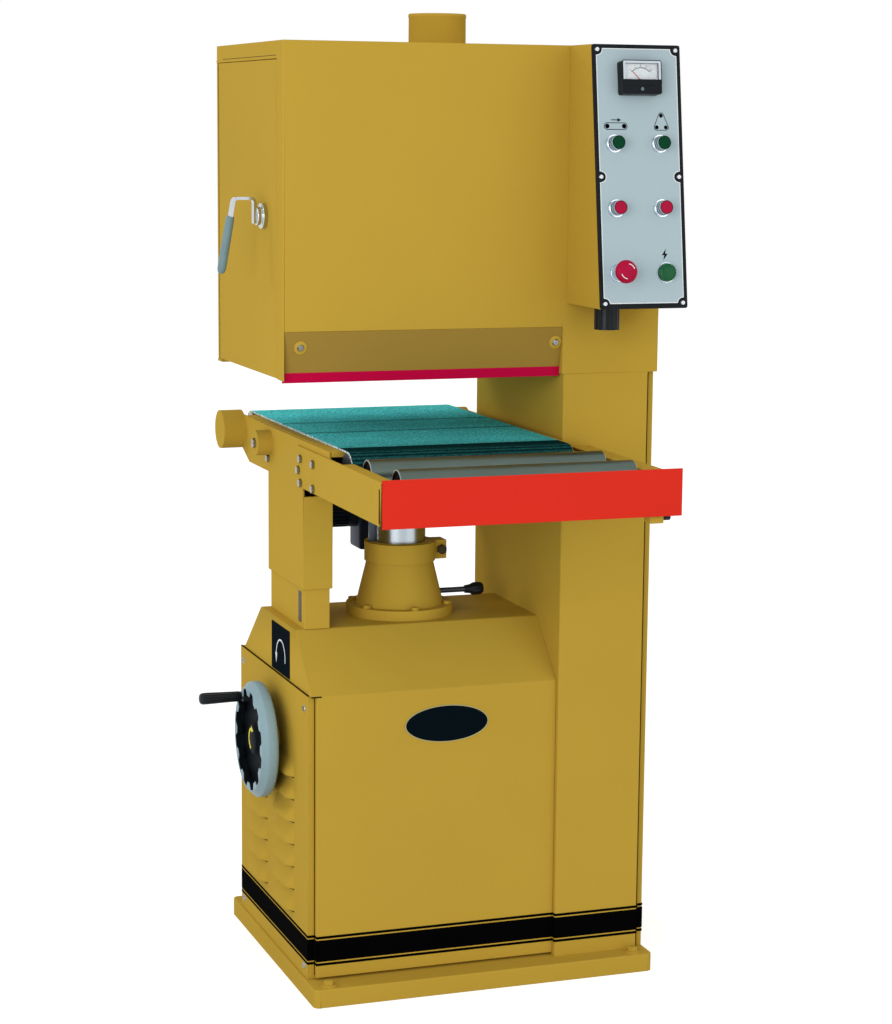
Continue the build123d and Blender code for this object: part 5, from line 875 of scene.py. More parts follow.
class SANDER_OT_stage(bpy.types.Operator):
    """Camera, soft light and pale floor"""

    bl_idname = "sander.stage"
    bl_label = "Stage"

    def execute(self, context):
        settings = context.scene.sander_stage
        context.scene.view_settings.view_transform = "Standard"
        yaw, pitch, roll = CAMERA_YAW, CAMERA_PITCH, CAMERA_ROLL
        ahead = Vector((sin(yaw) * cos(pitch), cos(yaw) * cos(pitch), -sin(pitch)))
        flat = Vector((cos(yaw), -sin(yaw), 0.0))
        lift = flat.cross(ahead)
        right = flat * cos(roll) + lift * sin(roll)
        up = lift * cos(roll) - flat * sin(roll)
        lens = bpy.data.cameras.new("camera")
        lens.lens = CAMERA_LENS
        lens.sensor_width = CAMERA_FILM
        lens.clip_end = CAMERA_REACH
        camera = link(bpy.data.objects.new("camera", lens))
        camera.matrix_world = axes(right, up, -ahead, CAMERA_SPOT)
        context.scene.camera = camera
        for name, spot, size in LAMPS:
            lamp = bpy.data.lights.new(name + "_light", "AREA")
            lamp.shape = "SQUARE"
            lamp.size = size
            lamp.energy = getattr(settings, name)
            obj = link(bpy.data.objects.new(name + "_light", lamp))
            turn = (LAMP_AIM - Vector(spot)).to_track_quat("-Z", "Y")
            obj.matrix_world = Matrix.Translation(spot) @ turn.to_matrix().to_4x4()
        self.room(context, settings)
        self.floor(settings)
        return {"FINISHED"}

    def seen(self, graph):
        """1 for rays that show the background: from the camera, a mirror or glass."""
        path = graph.add("ShaderNodeLightPath").outputs
        shown = graph.math("MAXIMUM", path["Is Camera Ray"], path["Is Glossy Ray"])
        return graph.math("MAXIMUM", shown, path["Is Transmission Ray"])

    def room(self, context, settings):
        """White room that lights the machine plainly."""
        world = bpy.data.worlds.new("room")
        world.use_nodes = True
        graph = Graph(world.node_tree)
        sky = world.node_tree.nodes["Background"]
        sky.inputs["Color"].default_value = (1.0, 1.0, 1.0, 1.0)
        graph.feed(sky.inputs["Strength"], graph.span(self.seen(graph), 0.0, 1.0, settings.ambient, 1.0))
        context.scene.world = world

    def floor(self, settings):
        """Pale floor that keeps the shadow of the machine."""
        material = bpy.data.materials.new("pale_floor")
        material.use_nodes = True
        graph = Graph(material.node_tree)
        surface = material.node_tree.nodes["Principled BSDF"]
        spot = graph.add("ShaderNodeTexCoord").outputs["Object"]
        mottle = graph.span(graph.noise(spot, 1.2, 2.0), 0.3, 0.7, 0.985, 1.0)
        graph.feed(surface.inputs["Base Color"], graph.dimmed(settings.floor, mottle))
        surface.inputs["Roughness"].default_value = 0.9
        surface.inputs["Specular IOR Level"].default_value = 0.0
        surface.inputs["Emission Color"].default_value = (1.0, 1.0, 1.0, 1.0)
        graph.feed(surface.inputs["Emission Strength"], graph.math("MULTIPLY", self.seen(graph), FLOOR_GLOW))
        mesh = bpy.data.meshes.new("floor")
        signs = ((-1, -1), (1, -1), (1, 1), (-1, 1))
        mesh.from_pydata([(x * FLOOR_REACH, y * FLOOR_REACH, 0) for x, y in signs], [], [(0, 1, 2, 3)])
        mesh.materials.append(material)
        link(bpy.data.objects.new("floor", mesh))


class SANDER_OT_finishes(bpy.types.Operator):
    """Mix all finishes and give them to the CAD pieces by their slots"""

    bl_idname = "sander.finishes"
    bl_label = "Finishes"

    def execute(self, context):
        mix_finishes(context.scene.sander_colours)
        for name, node in frame["nodes"].items():
            for slot in node.material_slots:
                label = slot.material.name.split(".")[0]
                if label not in FINISHES:
                    raise RuntimeError(f"{name} has no finish for {label}")
                slot.material = FINISHES[label]
        return {"FINISHED"}


class SANDER_OT_sheet_metal(bpy.types.Operator):
    """Painted sheet metal and castings with rounded edges"""

    bl_idname = "sander.sheet_metal"
    bl_label = "Sheet metal"

    def execute(self, context):
        edge = context.scene.sander_trim.edge
        shells = [
            "base_frame", "cabinet_shell", "cabinet_hood", "column_shell", "column_side_cover",
            "head_shell", "side_door", "control_box", "pedestal", "guide_post", "table_frame",
            "infeed_rails",
        ]
        for node in shells:
            soften(node, edge, "yellow_paint")
        # The guard strips take the darker copy of the body paint as painted shade.
        soften("guard_strips", edge, "yellow_paint", "guard_paint")
        soften("front_bar", edge * 0.8, "red_paint")
        recoat("conveyor_bed", "yellow_paint")
        recoat("tail_roller", "cast_iron")
        self.side_panel()
        return {"FINISHED"}

    def side_panel(self):
        """Side panel with two columns of pressed louvres and the bush of the wheel shaft."""
        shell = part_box("cabinet_shell")
        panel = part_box("louvre_panel")
        shaft = centre("handwheel_shaft")
        wall = shell[0].x - PLATE
        side = side_place(shell[0].x)
        bush_r, bore_r, corner = 0.021, 0.0127, 0.0012
        hole = disc((-shaft.y, shaft.z), bore_r, 48)
        sheet = rounded((-panel[1].y, panel[0].z), (-panel[0].y, panel[1].z), corner, 2)
        plate = cutout([sheet, hole], PLATE, side)
        bush = cutout([disc((-shaft.y, shaft.z), bush_r, 64), hole], wall - panel[0].x, side_place(wall))
        maker = self.louvre_maker(LOUVRE)
        sunk = 0.0002
        spots = [
            (Vector((wall + sunk, y, LOUVRE_LOW + LOUVRE_PITCH * row)), LEFT, UP)
            for row in range(LOUVRE_ROWS) for y in LOUVRE_COLUMNS
        ]
        whole = joined(painted(joined(plate, bush), "yellow_paint"), maker.grow(spots, LOUVRE))
        piece("side_panel", whole, "frame", "yellow_paint", "louvre_panel")

    def louvre_maker(self, sizes):
        """Louvre pressed out of the sheet: rises from its top edge, with round ends; its mouth below is
        closed by faces painted black as shade inside the opening.
        """
        maker = Grower("louvre", sizes)
        graph, given = maker.graph, maker.given
        rows = 12
        sockets = {"Size X": given["Height"], "Size Y": given["Length"], "Vertices X": rows, "Vertices Y": 41}
        grid = graph.add("GeometryNodeMeshGrid", None, sockets).outputs["Mesh"]
        here = graph.add("GeometryNodeInputPosition").outputs[0]
        spot = graph.add("ShaderNodeSeparateXYZ", None, {0: here}).outputs
        low, top = maker.times(given["Height"], -0.5), maker.times(given["Height"], 0.5)
        lip = maker.times(given["Height"], 1.0 / (rows - 1) - 0.5)
        ramp = {"Value": spot["X"], "From Min": lip, "From Max": top, "To Min": 1.0, "To Max": 0.0}
        rise = graph.add("ShaderNodeMapRange", {"interpolation_type": "SMOOTHSTEP"}, ramp).outputs[0]
        drop = graph.span(spot["X"], low, lip, 0.0, 1.0)
        away = graph.math("ABSOLUTE", spot["Y"])
        half = maker.times(given["Length"], 0.5)
        end = graph.span(away, graph.math("SUBTRACT", half, LOUVRE_END), half, 0.0, 1.0)
        round_end = graph.math("SUBTRACT", 1.0, maker.times(end, end))
        height = maker.times(maker.times(given["Out"], rise), maker.times(drop, round_end))
        lift = graph.add("ShaderNodeCombineXYZ", None, {"Z": height}).outputs[0]
        raised = graph.add("GeometryNodeSetPosition", None, {"Geometry": grid, "Offset": lift}).outputs[0]
        # The mouth faces under the louvre are closed and painted black as the shade inside the opening.
        mouth = graph.math("LESS_THAN", spot["X"], lip)
        sockets = {"Geometry": raised, "Name": "mouth", "Value": mouth}
        kind = {"data_type": "BOOLEAN", "domain": "FACE"}
        marked = graph.add("GeometryNodeStoreNamedAttribute", kind, sockets)
        maker.close(marked.outputs[0], "yellow_paint", "gap_black")
        return maker


class SANDER_OT_stripes(bpy.types.Operator):
    """Black stripes round the foot of the cabinet, guard band, and dark strips of painted shade at the seams
    """

    bl_idname = "sander.stripes"
    bl_label = "Stripes"

    def execute(self, context):
        trim = context.scene.sander_trim
        skin = 0.0004
        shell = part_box("cabinet_shell")
        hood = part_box("cabinet_hood")
        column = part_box("column_shell")
        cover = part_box("column_side_cover")
        skirt_x = hood[0].x + SKIRT_IN
        panel_x = shell[0].x - PLATE
        path = [
            (panel_x, shell[1].y), (panel_x, shell[0].y), (skirt_x, shell[0].y), (skirt_x, hood[0].y),
            (column[0].x, hood[0].y), (column[0].x, column[0].y), (column[1].x, column[0].y),
            (column[1].x, cover[0].y), (cover[1].x, cover[0].y), (cover[1].x, cover[1].y),
            (column[1].x, cover[1].y), (column[1].x, column[1].y), (column[0].x, column[1].y),
            (column[0].x, shell[1].y),
        ]
        low, high = trim.stripe_low, trim.stripe_low + trim.stripe_height
        gap, fine = trim.pinstripe_gap, trim.pinstripe
        bands = [(low, high), (high + gap, high + gap + fine), (low - gap - fine, low - gap)]
        meshes = [self.wrap(path, skin, *band) for band in bands]
        piece("foot_stripes", painted(joined(*meshes), "black_stripe"), "frame", "yellow_paint")
        self.guard_band(trim.guard_band)
        self.seams(skirt_x, shell, hood)
        return {"FINISHED"}

    def wrap(self, path, skin, low, high):
        """Thin closed band that follows the walls outside a path."""
        work = bmesh.new()
        rows = []
        for index, point in enumerate(path):
            here = Vector(point)
            before, after = Vector(path[index - 1]), Vector(path[(index + 1) % len(path)])
            arrive, leave = (here - before).normalized(), (after - here).normalized()
            out_a, out_b = Vector((-arrive.y, arrive.x)), Vector((-leave.y, leave.x))
            out = -(out_a + out_b) / (1.0 + out_a.dot(out_b))
            outer, inner = here + out * skin, here - out * skin
            rows.append([work.verts.new((p.x, p.y, z)) for p in (outer, inner) for z in (low, high)])
        for index, row in enumerate(rows):
            after = rows[(index + 1) % len(rows)]
            for first, second in ((0, 1), (1, 3), (3, 2), (2, 0)):
                work.faces.new((row[first], row[second], after[second], after[first]))
        return from_bmesh(work)

    def guard_band(self, height):
        """Band along the foot of the front guard strip."""
        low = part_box("guard_strips")[0]
        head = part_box("head_shell")
        beside, foot, skin, corner = 0.184, 0.0005, 0.0004, 0.0006
        lean = Vector((0.0, -GUARD_LEAN, GUARD_TALL)).normalized()
        place = axes(RIGHT, lean, RIGHT.cross(lean), (low.x, head[0].y + GUARD_LEAN, low.z))
        outline = rounded((0.0, foot), (head[1].x - beside - low.x, height), corner, 2)
        piece("guard_band", painted(cutout([outline], skin, place), "crimson_band"), "frame", "red_paint")

    def seams(self, skirt_x, shell, hood):
        """Dark strips of painted shade over the gaps beside and over the front cover, at the seam under the
        hood, along the column fold, over the door top and beside the front bar.
        """
        front, hair = shell[0].y, 0.0002
        column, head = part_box("column_shell"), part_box("head_shell")
        door, rails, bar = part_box("side_door"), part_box("infeed_rails"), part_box("front_bar")

        def gap(low, high):
            return block(low, high, hair, 1)

        slit = gap((skirt_x - 0.0011, front - 0.0008, 0.040), (skirt_x, front + hair, hood[1].z - 0.100))
        notch = gap((shell[0].x + 0.001, hood[0].y - 0.0004, SEAM_LOW - 0.0009),
                    (skirt_x + 0.009, front + hair, SEAM_HIGH + 0.0003))
        seam = gap((shell[0].x - PLATE - 0.0003, front + 0.0005, SEAM_LOW),
                   (shell[0].x, shell[1].y, SEAM_HIGH))
        fold = gap((column[1].x - 0.0010, column[0].y - hair, 0.034),
                   (column[1].x + 0.0003, column[0].y + 0.004, 1.099))
        slot = gap((head[0].x - 0.0004, door[0].y + 0.002, door[1].z + 0.0001),
                   (head[0].x + 0.004, door[1].y - 0.040, door[1].z + 0.0009))
        beside = gap((rails[0].x - 0.0003, bar[1].y + hair, rails[1].z - 0.068),
                     (rails[0].x + 0.001, bar[1].y + 0.0026, rails[1].z - 0.012))
        # The black strips stand for the shade in the gaps, the brown ones for the shade along the seam and
        # the fold.
        gap_shades = painted(joined(slit, notch, slot), "gap_black")
        piece("cover_gaps", joined(gap_shades, painted(joined(seam, fold), "seam_brown")), "frame", "black_rubber")
        piece("bar_gap", painted(beside, "gap_black"), "table", "black_rubber")


class SANDER_OT_control_face(bpy.types.Operator):
    """Control face with its print, bezels, buttons, lamp and load meter"""

    bl_idname = "sander.control_face"
    bl_label = "Control face"

    def execute(self, context):
        place = face_place()
        border = context.scene.sander_trim.panel_border
        bite, line_width, skin = 0.0095, 0.0014, 0.0003
        outline = self.outline(border, bite)
        print_mesh = painted(cutout([outline], skin, place), "panel_grey")
        lifted = shifted(place, out=skin)
        line = painted(cutout(ribbon(outline, line_width, True), skin / 2, lifted), "white_print")
        piece("face_print", joined(print_mesh, line), "frame", "panel_grey")
        piece("face_signs", painted(joined(*self.signs(lifted)), "black_stripe"), "frame", "panel_grey")
        recoat("control_panel", "meter_black")
        self.bezels(place)
        self.buttons(place)
        self.meter(place)
        return {"FINISHED"}

    def outline(self, inset, bite):
        """Face outline with a round bite at each of the six screws."""
        foot = 0.002
        high = FACE_H / 2 - inset
        across = FACE_W / 2 - inset - FACE_SCREW_U
        start = -atan2((bite ** 2 - across ** 2) ** 0.5, across)

        def corner(edge):
            rise = edge - FACE_SCREW_V
            end = atan2(rise, -((bite ** 2 - rise ** 2) ** 0.5))
            end -= tau if end > 0 else 0.0
            return self.bite(FACE_SCREW_V, bite, start, end)

        low = [(u, -v) for u, v in reversed(corner(high - foot))]
        side = low + self.bite(0.0, bite, start, -tau - start) + corner(high)
        return side + [(-u, v) for u, v in reversed(side)]

    def bite(self, height, radius, start, end):
        """Arc round a screw of the right row, angles in radians."""
        return arc((FACE_SCREW_U, height), radius, start * 180 / pi, end * 180 / pi, 12)

    def signs(self, place):
        """Plain signs: a conveyor at the feed start, three rollers at the belt start, a flash at the lamp."""
        feed = (-0.0423, 0.0857)
        belt = (LAMP_U, 0.0842)
        flash = (LAMP_U - 0.001, -0.1323)
        feed_half, feed_dot, feed_r = 0.0155, 0.0040, 0.0056
        belt_half, belt_tall, belt_dot, belt_r, belt_lean = 0.0084, 0.0198, 0.0034, 0.0048, 23.0
        feed_line, belt_line, arrow_line = 0.0011, 0.0010, 0.0014
        ends = around(feed, [(-feed_half, 0.0), (feed_half, 0.0)])
        corners = around(belt, [(-belt_half, 0.0), (belt_half, 0.0), (0.0, belt_tall)])
        outlines = [disc(middle, feed_dot) for middle in ends]
        outlines += [disc(middle, belt_dot) for middle in corners]
        run = arc(ends[1], feed_r, -90.0, 90.0, 10) + arc(ends[0], feed_r, 90.0, 270.0, 10)
        belt_run = arc(corners[1], belt_r, -90.0, belt_lean, 8)
        belt_run += arc(corners[2], belt_r, belt_lean, 180.0 - belt_lean, 8)
        belt_run += arc(corners[0], belt_r, 180.0 - belt_lean, 270.0, 8)
        outlines += ribbon(around(feed, [(-0.008, 0.0105), (0.004, 0.0105)]), arrow_line)
        outlines.append(around(feed, [(0.0105, 0.0105), (0.0035, 0.0135), (0.0035, 0.0075)]))
        bolt = [
            (0.002, 0.0095), (-0.0055, -0.0012), (-0.0008, -0.0006),
            (-0.003, -0.0095), (0.0055, 0.0016), (0.0008, 0.0012),
        ]
        outlines.append(around(flash, bolt))
        skin = 0.0002
        loops = [[outline] for outline in outlines]
        loops += [ribbon(run, feed_line, True), ribbon(belt_run, belt_line, True)]
        return [cutout(loop, skin, place) for loop in loops]

    def bezels(self, place):
        """Chrome rings on round flanges, with dark bands painted on as reflections and a black lip as painted
        shade in the gap, round the buttons and the lamp.
        """
        sizes = {"Inner": 0.0112, "Flange": 0.0157, "Body": 0.0136, "Height": BEZEL_OUT}
        maker = Grower("bezel_ring", sizes)
        given = maker.given
        step, taper, chamfer, past = 0.004, 0.0018, 0.0008, 0.01
        hole = maker.moved(maker.drum(48, given["Inner"], 5 * past), -past)
        bevel = maker.graph.math("SUBTRACT", given["Flange"], chamfer)
        flange = maker.cut(maker.drum(48, given["Flange"], step, bevel), hole)
        front = maker.graph.math("SUBTRACT", given["Body"], taper)
        body = maker.drum(48, given["Body"], given["Height"], front)
        maker.close(maker.together(flange, maker.cut(body, hole)), "bezel_chrome")
        out, across = place.col[2].to_3d(), place.col[0].to_3d()
        middles = [(u, v) for u in (FEED_U, BELT_U) for v in (START_V, STOP_V)]
        rings = [maker.grow([(place @ Vector((u, v, 0.0)), out, across) for u, v in middles], sizes)]
        mushroom = {"Inner": 0.0092, "Flange": 0.0157, "Body": 0.0145, "Height": BEZEL_OUT + 0.001}
        lamp = {"Inner": 0.0162, "Flange": 0.0178, "Body": 0.0174, "Height": 0.005}
        for u, ring in ((FEED_U, mushroom), (LAMP_U, lamp)):
            rings.append(maker.grow([(place @ Vector((u, ESTOP_V, 0.0)), out, across)], ring))
        # Painted reflection: dark metal bands on the chrome; painted shade: the black lip round the plunger.
        reflection_bands, deep, proud = ((0.0085, 0.0112), (0.0150, 0.0172)), 0.0006, 0.0001
        foot, top, inner = 0.0200, BEZEL_OUT + 0.0003, sizes["Inner"]
        lip = [(foot, inner), (foot, 0.0116), (top, 0.0117), (top, inner)]
        bands = []
        for u, v in middles:
            spot = shifted(place, u, v)
            for groove in reflection_bands:
                edges = [(h, sizes["Body"] - taper * h / BEZEL_OUT) for h in groove]
                band = [(h, r - deep) for h, r in edges[::-1]] + [(h, r + proud) for h, r in edges]
                bands.append(painted(turned(band, spot, closed=True), "cast_iron"))
            bands.append(painted(turned(lip, spot, closed=True), "gap_black"))
        piece("bezels", joined(*rings, *bands), "frame", "bright_chrome", "button_collars")

    def buttons(self, place):
        """Plungers, the mushroom with its light mark, and the ribbed lamp."""
        plunger = [
            (-0.002, 0.0), (-0.002, 0.0108), (0.0222, 0.0108), (0.023, 0.0101), (0.0227, 0.006),
            (0.0225, 0.0),
        ]
        rows = [("start", START_V, "green_button"), ("stop", STOP_V, "red_button")]
        for word, height, label in rows:
            for way, u in (("feed", FEED_U), ("belt", BELT_U)):
                node = f"{way}_{word}_button"
                cap = turned(plunger, shifted(place, u, height))
                piece(node + "_cap", painted(cap, label), node, label, node)
        spot = shifted(place, FEED_U, ESTOP_V)
        stem = [(-0.002, 0.0), (-0.002, 0.0088), (0.0315, 0.0088), (0.0315, 0.0)]
        neck = painted(turned(stem, spot, 48), "bright_chrome")
        dome = [
            (0.0306, 0.0), (0.0306, 0.0165), (0.0316, 0.0186), (0.0346, 0.0198), (0.0376, 0.0196),
            (0.0408, 0.018), (0.043, 0.0152), (0.0441, 0.0118), (0.0444, 0.0085), (0.0444, 0.0),
        ]
        head = painted(turned(dome, spot), "red_button")
        mark_r, mark_sweep, mark_width, mark_skin, mark_out = 0.0126, 62.0, 0.0014, 0.0004, 0.0438
        bows = [arc((0.0, 0.0), mark_r, turn, turn + mark_sweep, 14) for turn in (20.0, 200.0)]
        marks = [cutout(ribbon(bow, mark_width), mark_skin, shifted(spot, out=mark_out)) for bow in bows]
        mark = painted(joined(*marks), "white_print")
        piece("mushroom_head", joined(head, neck, mark), "emergency_stop", "red_button", "emergency_stop")
        lens = [
            (0.001, 0.0), (0.001, 0.0156), (0.0085, 0.0156), (0.0108, 0.0152), (0.0126, 0.0132),
            (0.0136, 0.0095), (0.014, 0.005), (0.014, 0.0),
        ]
        lamp = turned(lens, shifted(place, LAMP_U, ESTOP_V), 120, wavy(0.04, 20, (2, 3, 4)))
        piece("lamp_lens", painted(lamp, "green_lens"), "frame", "green_lens", "pilot_lamp")

    def meter(self, place):
        """Load meter: dial, its frame and the zero screw."""
        self.dial(shifted(place, out=WINDOW_FLOOR))
        rim = shifted(place, out=METER_OUT)
        half, line, cover_out, edge_out, mask_out = 0.0354, 0.0014, 0.0006, 0.0008, 0.0009
        outline = self.pane(half, 0.0200, 0.0210, 0.002)
        cover = cutout([outline, self.pane(0.031, 0.0165, 0.0165, 0.0012)], cover_out, rim)
        edge = cutout(ribbon(outline, line, True), edge_out, rim)
        mask = cutout([self.pane(half, 0.0202, -0.0108, 0.001)], mask_out, rim)
        dark = painted(joined(mask, edge), "meter_black")
        # Painted shade: the frame takes the darker copy of the dial's white.
        piece("meter_cover", joined(painted(cover, "cover_white"), dark), "frame", "meter_black")
        lift, top, slit_skin = 0.0002, 0.0008, 0.0001
        rise = shifted(place, v=ZERO_V, out=METER_OUT + lift)
        head = [(-0.001, 0.0), (-0.001, 0.0028), (0.0004, 0.0028), (top, 0.0022), (top, 0.0)]
        cap = painted(turned(head, rise, 32), "grey_plastic")
        # Painted shade: a thin black plate on the cap stands for the shade in the screw's slot.
        slit = rounded((-0.0022, -0.0003), (0.0022, 0.0003), 0.0001, 1)
        cross = painted(cutout([slit], slit_skin, shifted(rise, out=top)), "gap_black")
        piece("zero_screw", joined(cap, cross), "frame", "grey_plastic")

    def pane(self, half, below, above, corner):
        """Outline about the middle of the dial."""
        return rounded((-half, DIAL_V - below), (half, DIAL_V + above), corner)

    def dial(self, floor):
        """White dial with its arc, ticks and numbers."""
        plate, skin, line = 0.0004, 0.0001, 0.0009
        dial = cutout([self.pane(0.0306, 0.0161, 0.0161, 0.0008)], plate, floor)
        above = shifted(floor, out=plate)
        pivot, last = (0.0, PIVOT_V), SCALE_START - SCALE_SWEEP
        steps, major, number_r, number_size = 20, 5, 0.0270, 0.0030
        marks = [cutout(ribbon(arc(pivot, SCALE_R, SCALE_START, last, 30), line), skin, above)]
        angles = evenly(SCALE_START, last, steps)
        for step, angle in enumerate(angles):
            reach, width = (0.0252, line) if step % major == 0 else (0.0240, 0.0005)
            ends = [polar(pivot, radius, angle) for radius in (SCALE_R, reach)]
            marks.append(cutout(ribbon(ends, width), skin, above))
        for step in range(0, steps + 1, major):
            spot = polar(pivot, number_r, angles[step])
            marks.append(self.number(str(step), spot, number_size, skin, above))
        marks_mesh = painted(joined(*marks), "black_stripe")
        # Painted light: the dial takes the lighter copy of the white, against the shade in its recess.
        piece("meter_dial", joined(painted(dial, "dial_white"), marks_mesh), "frame", "panel_grey")

    def number(self, word, spot, size, skin, place):
        """Plain figure of the dial scale."""
        text = bpy.data.curves.new("figure", "FONT")
        text.body = word
        text.size = size
        text.extrude = skin / 2
        text.align_x = "CENTER"
        text.align_y = "CENTER"
        mesh = flattened(text)
        mesh.materials.clear()
        mesh.transform(shifted(place, *spot, skin / 2))
        return mesh


class SANDER_OT_handwheel(bpy.types.Operator):
    """Handwheel with finger hollows, dished hub, turning mark and fluted crank"""

    bl_idname = "sander.handwheel"
    bl_label = "Handwheel"

    def execute(self, context):
        low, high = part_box("handwheel")
        wheel, crank = centre("handwheel"), centre("crank_handle")
        middle = Vector((WHEEL_BACK, wheel.y, wheel.z))
        place = pointing(middle, LEFT, UP)
        radius = (high.z - low.z) / 2
        rim = self.rim(place, radius, context.scene.sander_trim.scallops)
        dish = [
            (HUB_FACE, 0.0), (HUB_FACE, 0.0252), (0.0220, 0.0268), (0.0185, 0.0290), (0.0145, 0.0340),
            (0.0118, 0.045), (0.0122, 0.0605), (0.0128, 0.0885), (0.0035, 0.0885), (0.0035, 0.024),
            (-0.006, 0.024), (-0.006, 0.0),
        ]
        hub = painted(turned(dish, place, 96), "wheel_black")
        boss_place = pointing((WHEEL_BACK, crank.y, crank.z), LEFT, UP)
        boss = [
            (0.011, 0.0), (0.011, 0.0118), (0.0145, 0.0108), (0.0275, 0.0098), (0.0298, 0.0078),
            (0.0298, 0.0),
        ]
        stud = painted(turned(boss, boss_place, 48), "black_plastic")
        piece("wheel", joined(rim, hub, stud), "handwheel", "wheel_grey", "handwheel")
        self.mark(shifted(place, out=HUB_FACE))
        handle = [
            (0.0308, 0.0), (0.0308, 0.0072), (0.0318, 0.0086), (0.036, 0.0096), (0.047, 0.0098),
            (0.062, 0.0101), (0.080, 0.0106), (0.095, 0.0110), (0.1025, 0.0109), (0.1056, 0.0098),
            (0.1078, 0.0078), (0.1088, 0.005), (0.1088, 0.0),
        ]
        grip = painted(turned(handle, boss_place, 96, wavy(0.09, 8, range(4, 9))), "black_plastic")
        piece("crank_grip", grip, "crank", "black_plastic", "crank_handle")
        return {"FINISHED"}

    def rim(self, place, radius, tongues):
        """Rim with a ridge round it, whose front inner edge runs in tongues between finger hollows."""
        back, tongue, front, hollow = radius - 0.016, radius - 0.0250, 0.030, 0.0118
        profile = [
            (0.0, back), (0.0, radius - 0.0052), (0.0012, radius - 0.0026), (0.003, radius - 0.0010),
            (0.006, radius), (0.0186, radius), (0.0194, radius - 0.0004), (0.0282, radius - 0.0098),
            (0.0294, radius - 0.0108), (front, radius - 0.0114), (front, tongue + 0.001),
            (front - 0.001, tongue), (0.0185, tongue), (0.0172, back),
        ]
        tints = [0] * 11 + [1] * 3

        def hollowed(angle, index, reach):
            if index not in (10, 11, 12):
                return reach
            pitch = tau / tongues
            away = abs((angle + pitch / 2) % pitch - pitch / 2) / (pitch / 2)
            share = min(1.0, max(0.0, (away - 0.25) / 0.4))
            return reach + hollow * share * share * (3 - 2 * share)

        mesh = turned(profile, place, tongues * 30, hollowed, tints, closed=True)
        return painted(mesh, "wheel_grey", "wheel_black")

    def mark(self, place):
        """Plain curved arrow on the hub: which way lifts the table."""
        radius, first, last, width, skin = 0.0190, 160.0, 8.0, 0.0045, 0.0004
        sweep = ribbon(arc((0.0, 0.0), radius, first, last, 40), width)
        corners = ((radius, -28.0), (0.0247, last), (0.0130, last))
        tip = [polar((0.0, 0.0), *corner) for corner in corners]
        arrow = painted(joined(cutout(sweep, skin, place), cutout([tip], skin, place)), "arrow_yellow")
        piece("wheel_mark", arrow, "handwheel", "wheel_grey")


